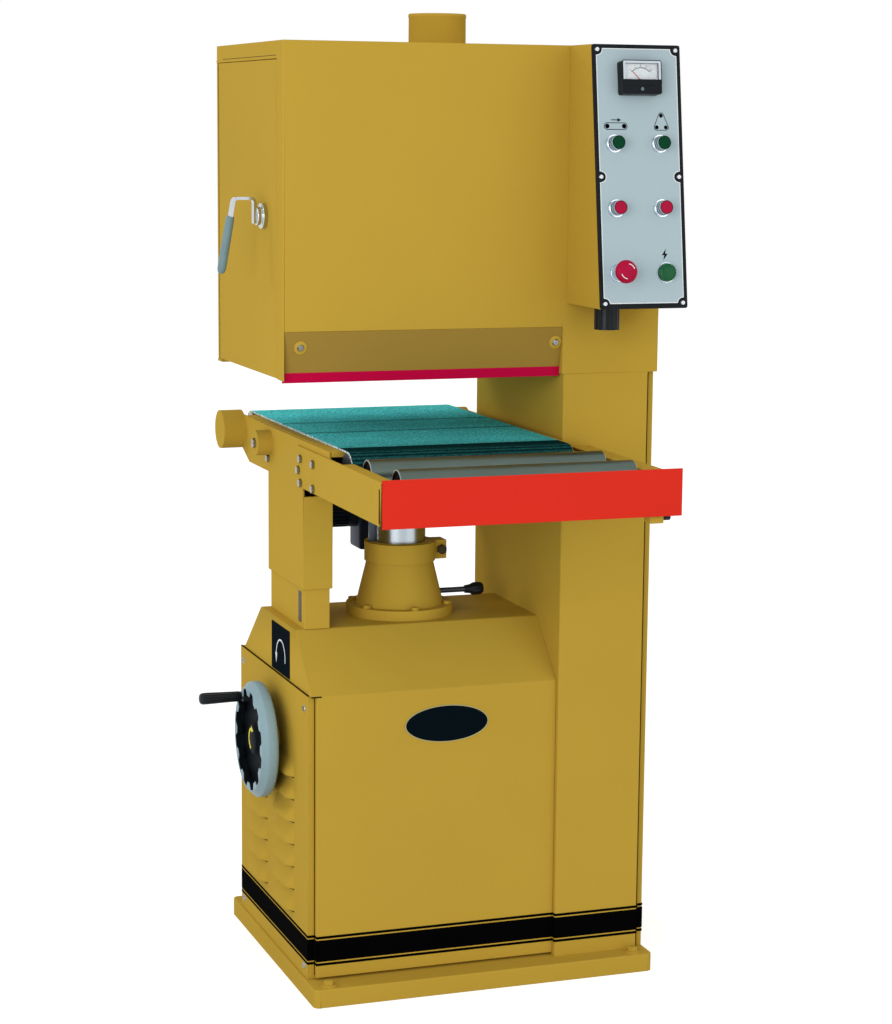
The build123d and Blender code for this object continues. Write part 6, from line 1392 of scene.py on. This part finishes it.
class SANDER_OT_table(bpy.types.Operator):
    """Conveyor belt, infeed rollers, lift tube, lock knob and feed drive"""

    bl_idname = "sander.table"
    bl_label = "Table"

    def execute(self, context):
        self.conveyor()
        for node in ("infeed_roller_rear", "infeed_roller_front"):
            self.infeed_roller(node)
        self.lift_tube()
        self.lock_knob()
        self.gearmotor(context.scene.sander_trim.fins)
        self.chain()
        return {"FINISHED"}

    def conveyor(self):
        """Endless belt with its length in a UV map, so bands and tread follow its run."""
        low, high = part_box("conveyor_belt")
        radius = (high.z - low.z) / 2
        axis = (high.z + low.z) / 2
        front, rear = low.y + radius, high.y - radius
        straight, bend, parts = 60, 28, 12
        loop = [(y, 90.0) for y in evenly(front, rear, straight)]
        loop += [(rear, angle) for angle in evenly(90.0, -90.0, bend)[1:-1]]
        loop += [(y, -90.0) for y in evenly(rear, front, straight)]
        loop += [(front, angle) for angle in evenly(270.0, 90.0, bend)[1:-1]]
        across = [low.x, *evenly(low.x + BELT_LIP, high.x - BELT_LIP, parts), high.x]
        work = bmesh.new()
        run_layer = work.loops.layers.uv.new("run")
        rows, runs, run = [], [], 0.0
        for y, angle in loop:
            out = heading(radians(angle))
            middle = Vector((y, axis))
            here = middle + radius * out
            if rows:
                run += (here - before).length
            before = here
            row = []
            for index, x in enumerate(across):
                lip = BELT_LIP if index in (0, len(across) - 1) else 0.0
                row.append((x, *(middle + (radius - lip) * out)))
            row += [(x, *(middle + (radius - BELT_THICK) * out)) for x in (high.x, low.x)]
            rows.append([work.verts.new(point) for point in row])
            runs.append(run)
        total = run + (rear - front) / straight * 0.5
        places = across + [high.x, low.x]
        count = len(places)
        for index, row in enumerate(rows):
            after = rows[(index + 1) % len(rows)]
            ends = (runs[index], runs[index + 1] if index + 1 < len(rows) else total)
            for i in range(count):
                j = (i + 1) % count
                face = work.faces.new((row[i], row[j], after[j], after[i]))
                # Lips and side faces take the pale edge finish, partly the cloth edge and partly a painted
                # highlight.
                face.material_index = 0 if 1 <= i < len(across) - 2 else 1
                for corner, (u, v) in zip(face.loops, ((0, i), (0, j), (1, j), (1, i))):
                    corner[run_layer].uv = (ends[u], places[v])
        mesh = painted(from_bmesh(work), "teal_belt", "belt_edge")
        piece("conveyor_cover", mesh, "table", "teal_belt", "conveyor_belt")

    def infeed_roller(self, node):
        """Roller tube with a rim and a sunk end round its axle; the sunk end and the inside of the wall are
        painted black as shade in the recess.
        """
        low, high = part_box(node)
        radius = (high.z - low.z) / 2
        ends = [x - low.x for x in ROLLER_ENDS[node]]
        place = pointing((low.x, *centre(node).yz), RIGHT)
        axle, wall, sunk = 0.005, 0.0026, 0.0035
        near = ends[0]
        profile = [
            (0.0, 0.0), (0.0, axle), (near + sunk, axle), (near + sunk, radius - wall - 0.0008),
            (near + 0.0004, radius - wall), (near, radius - wall + 0.0004), (near, radius - 0.0008),
            (near + 0.0008, radius),
        ]
        # Painted shade: black on the sunk end and the inside of the tube wall.
        tints = [3, 2, 1, 1, 2, 2, 2, 0]
        other = high.x - low.x
        back = [(other - (h if h == 0.0 else h - near + other - ends[1]), r) for h, r in reversed(profile)]
        mesh = turned(profile + back, place, 64, None, tints + tints[-2::-1])
        painted(mesh, "grey_zinc", "gap_black", "roller_rim", "yellow_paint")
        piece(node + "_tube", mesh, node, "grey_zinc", node)

    def lift_tube(self):
        """Polished tube with its dark key, and a black sunk disc in the key as painted shade in its hole."""
        low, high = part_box("lift_column")
        radius = (high.y - low.y) / 2
        middle = Vector((high.x - radius, low.y + radius, low.z))
        tall, chamfer = high.z - low.z, 0.001
        profile = [
            (0.0, 0.0), (0.0, radius - chamfer), (chamfer, radius),
            (tall - chamfer, radius), (tall, radius - chamfer), (tall, 0.0),
        ]
        tube = painted(turned(profile, Matrix.Translation(middle), 96), "polished_steel")
        key_turn, key_foot, key_half = 168.0, 0.140, 0.008
        key_out, key_sunk, key_edge = 0.010, 0.004, 0.0012
        turn = Matrix.Translation(middle) @ Matrix.Rotation(radians(key_turn), 4, "Z")
        key = block((radius - key_sunk, -key_half, key_foot), (radius + key_out, key_half, tall), key_edge)
        key.transform(turn)
        # Painted shade: the key's hole is a shallow pit painted black.
        hole_r, hole_z, hair = 0.003, 0.255, 0.0001
        hole_place = turn @ pointing((radius + key_out / 2, key_half - hair, hole_z), -FRONT)
        pit = [(-0.002, 0.0), (-0.002, hole_r), (2 * hair, hole_r), (2 * hair, 0.0)]
        hole = turned(pit, hole_place, 32)
        whole = joined(tube, painted(key, "cast_iron"), painted(hole, "gap_black"))
        piece("lift_tube", whole, "table", "polished_steel", "lift_column")

    def lock_knob(self):
        """Clamp rod with a black lobed knob."""
        low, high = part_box("lock_lever")
        place = pointing((low.x, *centre("lock_lever").yz), RIGHT)
        long, rod_r, knob_long = high.x - low.x, 0.005, 0.035
        end = long - knob_long + 0.005
        rod = painted(turned([(0.0, 0.0), (0.0, rod_r), (end, rod_r), (end, 0.0)], place, 32), "cast_iron")
        knob = [
            (0.0, 0.0), (0.0, 0.0072), (0.004, 0.0078), (0.010, 0.0085), (0.014, 0.011), (0.0175, 0.012),
            (0.028, 0.012), (0.0322, 0.0112), (0.0345, 0.009), (knob_long, 0.006), (knob_long, 0.0),
        ]
        lobed = turned(knob, shifted(place, out=long - knob_long), 96, wavy(0.13, 6, range(4, 8)))
        grip = painted(lobed, "black_plastic")
        piece("lock_knob", joined(rod, grip), "lock_lever", "bare_steel", "lock_lever")

    def gearmotor(self, fins):
        """Finned motor lying across the table, with its gearbox."""
        low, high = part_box("feed_motor")
        middle = Vector((low.x, centre("feed_motor").y, FEED_Z))
        box_x = high.x - GEARBOX_W
        core = [
            (0.0, 0.0), (0.0, 0.022), (0.003, 0.0255), (0.007, 0.0268), (0.020, 0.0272), (0.022, 0.0236),
            (0.092, 0.0236), (0.094, 0.0275), (0.108, 0.0278), (0.112, 0.0278), (0.112, 0.0),
        ]
        body = painted(turned(core, pointing(middle, RIGHT), 64), "blue_paint")
        box = block((box_x, low.y, low.z), (high.x, high.y, low.z + GEARBOX_H), 0.006, 3)
        saddle = block((box_x, low.y, FEED_Z), (high.x, FEED_SADDLE_Y, high.z), 0.003, 2)
        sizes = {"Length": 0.070, "Height": 0.0055, "Thickness": 0.0018}
        fin_middle, fin_foot = 0.057, 0.022
        maker = Grower("motor_fin", sizes)
        fin = maker.bar(maker.given["Length"], maker.given["Thickness"], maker.given["Height"])
        maker.close(maker.moved(fin, maker.times(maker.given["Height"], 0.5)), "blue_paint")
        spots = []
        for step in range(fins):
            out = Vector((0.0, cos(tau * step / fins), sin(tau * step / fins)))
            spots.append((middle + RIGHT * fin_middle + out * fin_foot, out, RIGHT))
        gearbox = painted(joined(box, saddle), "blue_paint")
        whole = joined(body, gearbox, maker.grow(spots, sizes))
        piece("gearmotor", whole, "table", "blue_paint", "feed_motor")

    def chain(self):
        """Roller chain round the two sprockets, outer and inner links in turn."""
        low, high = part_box("feed_chain")
        big, small = centre("drive_roller").yz, centre("feed_sprocket").yz
        big_r, small_r = high.y - big.x - CHAIN_OUT, small.y - low.z - CHAIN_OUT
        span = small - big
        tilt = atan2(span.y, span.x)
        lean = acos((big_r - small_r) / span.length)
        path = [big + big_r * heading(a) for a in evenly(tilt + lean, tilt - lean + tau, 90)]
        path += [small + small_r * heading(a) for a in evenly(tilt - lean, tilt + lean, 60)]
        path.append(path[0])
        lengths = [0.0]
        for first, second in zip(path, path[1:]):
            lengths.append(lengths[-1] + (second - first).length)
        links = 2 * round(lengths[-1] / LINK_PITCH / 2)
        pitch = lengths[-1] / links
        middle_x = (low.x + high.x) / 2
        spots = []
        for step in range(links):
            goal = pitch * step
            index = max(k for k, run in enumerate(lengths[:-1]) if run <= goal)
            along = (path[index + 1] - path[index]).normalized()
            spot = path[index] + along * (goal - lengths[index])
            spots.append((Vector((middle_x, *spot)), RIGHT, Vector((0.0, *along))))
        wide = {"Pitch": pitch, "Spread": 0.0026, "Height": 0.0056}
        narrow = {"Pitch": pitch, "Spread": 0.0018, "Height": 0.0052}
        maker = Grower("chain_link", wide)
        given = maker.given
        plate_share, plate_thick, roller_r = 1.35, 0.0007, 0.0019
        plate = maker.bar(maker.times(given["Pitch"], plate_share), given["Height"], plate_thick)
        down = maker.times(given["Spread"], -1.0)
        pin = maker.drum(10, roller_r, maker.times(given["Spread"], 2.0))
        roller = maker.moved(pin, down)
        plates = [maker.moved(plate, given["Spread"]), maker.moved(plate, down)]
        maker.close(maker.together(*plates, roller), "bare_steel")
        outer, inner = maker.grow(spots[::2], wide), maker.grow(spots[1::2], narrow)
        piece("roller_chain", joined(outer, inner), "table", "bare_steel", "feed_chain")


class SANDER_OT_dust_port(bpy.types.Operator):
    """Dust outlet with its flange and rolled bead"""

    bl_idname = "sander.dust_port"
    bl_label = "Dust port"

    def execute(self, context):
        low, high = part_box("dust_port")
        place = Matrix.Translation((*centre("dust_port").xy, low.z))
        tall = high.z - low.z
        profile = [
            (0.0, 0.0485), (0.0, 0.0634), (0.0006, 0.064), (0.0024, 0.064), (0.003, 0.0634), (0.003, 0.0535),
            (0.0036, 0.0520), (0.005, 0.051), (tall - 0.0075, 0.0508), (tall - 0.0065, 0.0514),
            (tall - 0.004, 0.0517), (tall - 0.0015, 0.0514), (tall, 0.0503), (tall - 0.0004, 0.0488),
            (tall - 0.003, 0.0485),
        ]
        mesh = painted(turned(profile, place, 96, closed=True), "yellow_paint")
        piece("outlet", mesh, "frame", "yellow_paint", "dust_port")
        return {"FINISHED"}


class SANDER_OT_latch(bpy.types.Operator):
    """Moulded grip of the door latch"""

    bl_idname = "sander.latch"
    bl_label = "Door latch"

    def execute(self, context):
        splay = radians(LATCH_SPLAY)
        along = Vector((-sin(splay), 0.0, -cos(splay)))
        place = pointing((LATCH_X, centre("latch_grip").y, LATCH_Z), along, -FRONT)
        profile = [
            (0.0, 0.0), (0.0, 0.0068), (0.0012, 0.0079), (0.010, 0.0084), (0.050, 0.0086), (0.080, 0.0088),
            (0.0920, 0.0082), (0.0968, 0.0066), (0.0990, 0.0040), (0.0998, 0.0),
        ]
        grip = turned(profile, place @ Matrix.Diagonal((1.0, 0.88, 1.0, 1.0)), 64)
        piece("latch_handle", painted(grip, "grey_plastic"), "door_latch", "grey_plastic", "latch_grip")
        return {"FINISHED"}


class SANDER_OT_fasteners(bpy.types.Operator):
    """Cross-head screws, washers and hexagon bolts"""

    bl_idname = "sander.fasteners"
    bl_label = "Fasteners"

    def execute(self, context):
        trim = context.scene.sander_trim
        small_head, large_head = trim.screw_head * FACE_SCREW_SHARE, trim.screw_head * PANEL_SCREW_SHARE
        screws = self.screw_maker(trim.screw_head, "zinc_bolts")
        face_screws = self.screw_maker(small_head, "bright_chrome")
        bolts = self.bolt_maker("zinc_bolts", "hex_bolt")
        painted_bolts = self.bolt_maker("yellow_paint", "painted_bolt")
        # Painted shade: a dark olive bolt for the yellow clamp bolt that sits between the collar ears.
        shaded_bolts = self.bolt_maker("scale_plate", "dark_bolt")
        painted_washers = self.washer_maker("yellow_paint", "painted_washer")
        guard = self.guard_spots()
        raised = [(p + a * WASHER["Height"], a, s) for p, a, s in guard]
        face = face_screws.grow(self.face_spots(), {"Radius": small_head, "Height": SCREW_H})
        heads = screws.grow(self.cover_spots(), {"Radius": trim.screw_head, "Height": SCREW_H})
        large = screws.grow(self.panel_spots() + raised, {"Radius": large_head, "Height": SCREW_H})
        rings = painted_washers.grow(guard, WASHER)
        piece("cross_screws", joined(face, heads, large, rings), "frame", "zinc_bolts", "machine_screws")
        base = self.base_spots()
        big = {"Width": trim.bolt_width, "Height": BOLT_H}
        low = {"Width": trim.bolt_width, "Height": SMALL_BOLT_H}
        small = {"Width": trim.small_bolt_width, "Height": SMALL_BOLT_H}
        feet = painted_bolts.grow([(p + UP * ANCHOR_WASHER["Height"], a, s) for p, a, s in base], big)
        pads = painted_washers.grow(base, ANCHOR_WASHER)
        ring = painted_bolts.grow(self.pedestal_spots(), small)
        # The clamp bolt takes the dark olive of the scale plate as painted shade.
        clamp = shaded_bolts.grow(self.clamp_spots(), big)
        piece("machine_bolts", joined(feet, pads, ring, clamp), "frame", "zinc_bolts", "hex_bolts")
        rail, tie, right = self.table_spots()
        meshes = [bolts.grow(rail, small), bolts.grow(tie, low), bolts.grow(right, small)]
        piece("rail_bolts", joined(*meshes, self.stop_knob()), "table", "zinc_bolts", "table_bolts")
        return {"FINISHED"}

    def screw_maker(self, radius, label):
        """Pan head with a cross."""
        maker = Grower("cross_screw", {"Radius": radius, "Height": SCREW_H})
        given = maker.given
        head = maker.drum(28, given["Radius"], given["Height"], maker.times(given["Radius"], 0.72))
        long, narrow = maker.times(given["Radius"], 1.15), maker.times(given["Radius"], 0.24)
        bars = [maker.bar(*size, given["Height"]) for size in ((long, narrow), (narrow, long))]
        bars = [maker.moved(bar, given["Height"]) for bar in bars]
        maker.close(maker.cut(head, *bars), label)
        return maker

    def bolt_maker(self, label, name):
        """Hexagon head with its corners turned off."""
        maker = Grower(name, {"Width": 0.016, "Height": BOLT_H})
        given = maker.given
        prism = maker.drum(6, maker.times(given["Width"], HEX_CORNER), given["Height"])
        top = maker.times(given["Width"], 0.475)
        past = 0.001
        math = maker.graph.math
        low = math("ADD", top, maker.times(math("ADD", given["Height"], past), HEX_SLOPE))
        tall = math("ADD", given["Height"], 2 * past)
        cone = maker.moved(maker.drum(36, low, tall, math("SUBTRACT", top, HEX_SLOPE * past)), -past)
        maker.close(maker.cut(prism, cone, operation="INTERSECT"), label)
        return maker

    def washer_maker(self, label, name):
        """Flat washer with a broken edge."""
        maker = Grower(name, ANCHOR_WASHER)
        given = maker.given
        wall, top = maker.times(given["Height"], 0.8), maker.times(given["Height"], 0.2)
        rim = maker.drum(36, given["Radius"], wall)
        edge = maker.drum(36, given["Radius"], top, maker.times(given["Radius"], 0.96))
        maker.close(maker.together(rim, maker.moved(edge, wall)), label)
        return maker

    def face_spots(self):
        """Screws of the control face, each at its own turn."""
        place = face_place()
        out, across = place.col[2].to_3d(), place.col[0].to_3d()
        spots = []
        for u in (-FACE_SCREW_U, FACE_SCREW_U):
            for v in (-FACE_SCREW_V, 0.0, FACE_SCREW_V):
                turn = Matrix.Rotation(54.0 * u + 7.0 * v, 3, out)
                spots.append((place @ Vector((u, v, 0.0)), out, turn @ across))
        return spots

    def cover_spots(self):
        """Screws of the column cover, each at its own turn."""
        spots = []
        inset = 0.020
        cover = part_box("column_side_cover")
        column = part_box("column_shell")
        for y in (cover[0].y + inset, cover[1].y - inset):
            for z in (column[0].z + 2 * inset, centre("column_shell").z, column[1].z - 2 * inset):
                turn = Vector((0.0, cos(5 * z), sin(5 * z)))
                spots.append((Vector((cover[1].x, y, z)), RIGHT, turn))
        return spots

    def panel_spots(self):
        """Screws in the corners of the louvred side panel, each at its own turn."""
        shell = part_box("cabinet_shell")
        inset, drop = 0.020, 0.026
        spots = []
        for y in (shell[0].y + inset, shell[1].y - inset):
            for z in (shell[0].z + inset, shell[1].z - drop):
                turn = Vector((0.0, cos(9 * y), sin(9 * y)))
                spots.append((Vector((shell[0].x - PLATE, y, z)), LEFT, turn))
        return spots

    def guard_spots(self):
        """Washered screws of the front and rear guard strips."""
        low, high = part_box("guard_strips")
        drop, lean, tall = 0.027, GUARD_LEAN, high.z - low.z
        left_in, right_in = 0.032, 0.012
        z = high.z - drop
        spots = []
        for way, edge in ((-1.0, low.y), (1.0, high.y)):
            out = Vector((0.0, way * tall, -lean)).normalized()
            for x in (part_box("head_shell")[0].x + left_in, high.x - right_in):
                spots.append((Vector((x, edge - way * lean * drop / tall, z)), out, RIGHT))
        return spots

    def base_spots(self):
        """Anchor bolts in the corners of the base, each at its own turn."""
        low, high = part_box("base_frame")
        side_in, end_in = 0.032, 0.020
        spots = []
        for x in (low.x + side_in, high.x - side_in):
            for y in (low.y + end_in, high.y - end_in):
                spots.append((Vector((x, y, high.z)), UP, Vector((cos(40 * x), sin(40 * x), 0.0))))
        return spots

    def pedestal_spots(self):
        """Bolt circle of the pedestal flange."""
        middle = lift_axis()
        spots = []
        for step in range(FLANGE_BOLTS):
            angle = tau * (step + 0.5) / FLANGE_BOLTS
            out = Vector((cos(angle), sin(angle), 0.0))
            spots.append((middle + out * FLANGE_BOLT_R + UP * FLANGE_Z, UP, out))
        return spots

    def clamp_spots(self):
        """Clamp bolt through the ears of the collar."""
        middle = lift_axis()
        ear_x, ear_y, half = 0.075, 0.017, 0.008
        spot = Vector((middle.x + ear_x, middle.y - ear_y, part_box("hex_bolts")[1].z - half))
        return [(spot, FRONT, UP)]

    def table_spots(self):
        """Bolts of the left rail and side plate, of the tie boss, and of the right rail."""
        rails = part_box("infeed_rails")
        far, sheet = 2 * RAIL_BOLT_RISE, 0.004
        pair_ys, single_y, plate_yz, tie_yz = (-0.218, -0.142), -0.129, (0.083, 0.925), (0.075, 0.955)
        spots = [(y, RAIL_Z + rise) for y in pair_ys for rise in (-far, far)] + [(single_y, RAIL_Z)]
        rail = [(Vector((rails[0].x, y, z)), LEFT, UP) for y, z in spots]
        rail.append((Vector((rails[0].x + sheet, *plate_yz)), LEFT, UP))
        tie = [(Vector((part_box("table_bolts")[0].x + SMALL_BOLT_H, *tie_yz)), LEFT, UP)]
        near = (-RAIL_BOLT_RISE, RAIL_BOLT_RISE)
        right = [(Vector((rails[1].x, SPACER_Y, RAIL_Z + rise)), RIGHT, UP) for rise in near]
        return rail, tie, right

    def stop_knob(self):
        """Knurled stop knob under the right rail."""
        low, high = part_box("table_bolts")
        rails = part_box("infeed_rails")
        radius, long = 0.006, high.x - rails[1].x
        place = pointing((rails[1].x, low.y + radius, low.z + radius), RIGHT)
        profile = [
            (0.0, 0.0), (0.0, 0.0055), (0.001, radius), (long - 0.001, radius), (long, 0.005), (long, 0.0),
        ]
        return painted(turned(profile, place, 96, wavy(0.05, 16, (2, 3))), "black_plastic")


class SANDER_OT_plates(bpy.types.Operator):
    """Bare plates, direction arrow and height scale"""

    bl_idname = "sander.plates"
    bl_label = "Plates"

    def execute(self, context):
        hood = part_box("cabinet_hood")
        skin = 0.0005
        side = side_place(hood[0].x)
        low, high, corner, line_width = (-0.020, 0.5492), (0.099, 0.637), 0.002, 0.003
        plate = painted(cutout([rounded(low, high, corner)], skin, side), "plate_black")
        above = shifted(side, out=skin)
        bow = ellipse((0.040, 0.579), (0.029, 0.031), range(-12, 176, 6))
        head = [(0.0112, 0.5635), (0.0052, 0.582), (0.0172, 0.582)]
        arrow = [cutout([line], skin / 2, above) for line in ribbon(bow, line_width) + [head]]
        piece("turning_plate", joined(plate, painted(joined(*arrow), "white_print")), "frame", "meter_black")
        front = axes(RIGHT, UP, FRONT, (0.0, hood[0].y, 0.0))
        oval = ellipse((-0.0645, 0.483), (0.0775, 0.033), range(0, 360, 5))
        badge_out, rim_out, rim_width = 0.0008, 0.0012, 0.0016
        badge = painted(cutout([oval], badge_out, front), "plate_black")
        rim = painted(cutout(ribbon(oval, rim_width, True), rim_out, front), "scale_mark")
        piece("blank_badge", joined(badge, rim), "frame", "meter_black")
        self.scale(skin)
        return {"FINISHED"}

    def scale(self, skin):
        """Height scale on the guide post."""
        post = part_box("guide_post")
        side = side_place(post[0].x)
        low, high, corner = (0.098, 0.657), (0.117, 0.712), 0.001
        strip = painted(cutout([rounded(low, high, corner)], skin, side), "scale_plate")
        above = shifted(side, out=skin)
        edge, first, pitch, half = 0.0985, 0.6595, 0.002, 0.0002
        count, major, long, short = 26, 5, 0.009, 0.005
        ticks = []
        for step in range(count):
            reach = long if step % major == 0 else short
            v = first + pitch * step
            tick = rounded((edge, v - half), (edge + reach, v + half), half / 2, 1)
            ticks.append(cutout([tick], skin / 4, above))
        piece("height_scale", joined(strip, painted(joined(*ticks), "scale_mark")), "frame", "grey_plastic")


class SANDER_PT_panel(bpy.types.Panel):
    """Sidebar panel of the belt sander"""

    bl_idname = "SANDER_PT_panel"
    bl_label = "Belt sander"
    bl_space_type = "VIEW_3D"
    bl_region_type = "UI"
    bl_category = "Sander"

    def draw(self, context):
        for step in STEPS:
            self.layout.operator(step.bl_idname)
        for group in ("sander_colours", "sander_trim", "sander_stage"):
            settings = getattr(context.scene, group)
            box = self.layout.box()
            for name in settings.bl_rna.properties.keys():
                if name not in ("rna_type", "name"):
                    box.prop(settings, name)


STEPS = (
    SANDER_OT_stage, SANDER_OT_finishes, SANDER_OT_sheet_metal, SANDER_OT_stripes, SANDER_OT_control_face,
    SANDER_OT_handwheel, SANDER_OT_table, SANDER_OT_dust_port, SANDER_OT_latch, SANDER_OT_fasteners,
    SANDER_OT_plates,
)
CLASSES = (SanderColours, SanderTrim, SanderStage, *STEPS, SANDER_PT_panel)


def register():
    for cls in CLASSES:
        bpy.utils.register_class(cls)
    bpy.types.Scene.sander_colours = PointerProperty(type=SanderColours)
    bpy.types.Scene.sander_trim = PointerProperty(type=SanderTrim)
    bpy.types.Scene.sander_stage = PointerProperty(type=SanderStage)


def unregister():
    del bpy.types.Scene.sander_stage
    del bpy.types.Scene.sander_trim
    del bpy.types.Scene.sander_colours
    for cls in reversed(CLASSES):
        bpy.utils.unregister_class(cls)


def main():
    register()
    for step in STEPS:
        getattr(bpy.ops.sander, step.bl_idname.split(".")[1])()


if __name__ == "__main__":
    main()
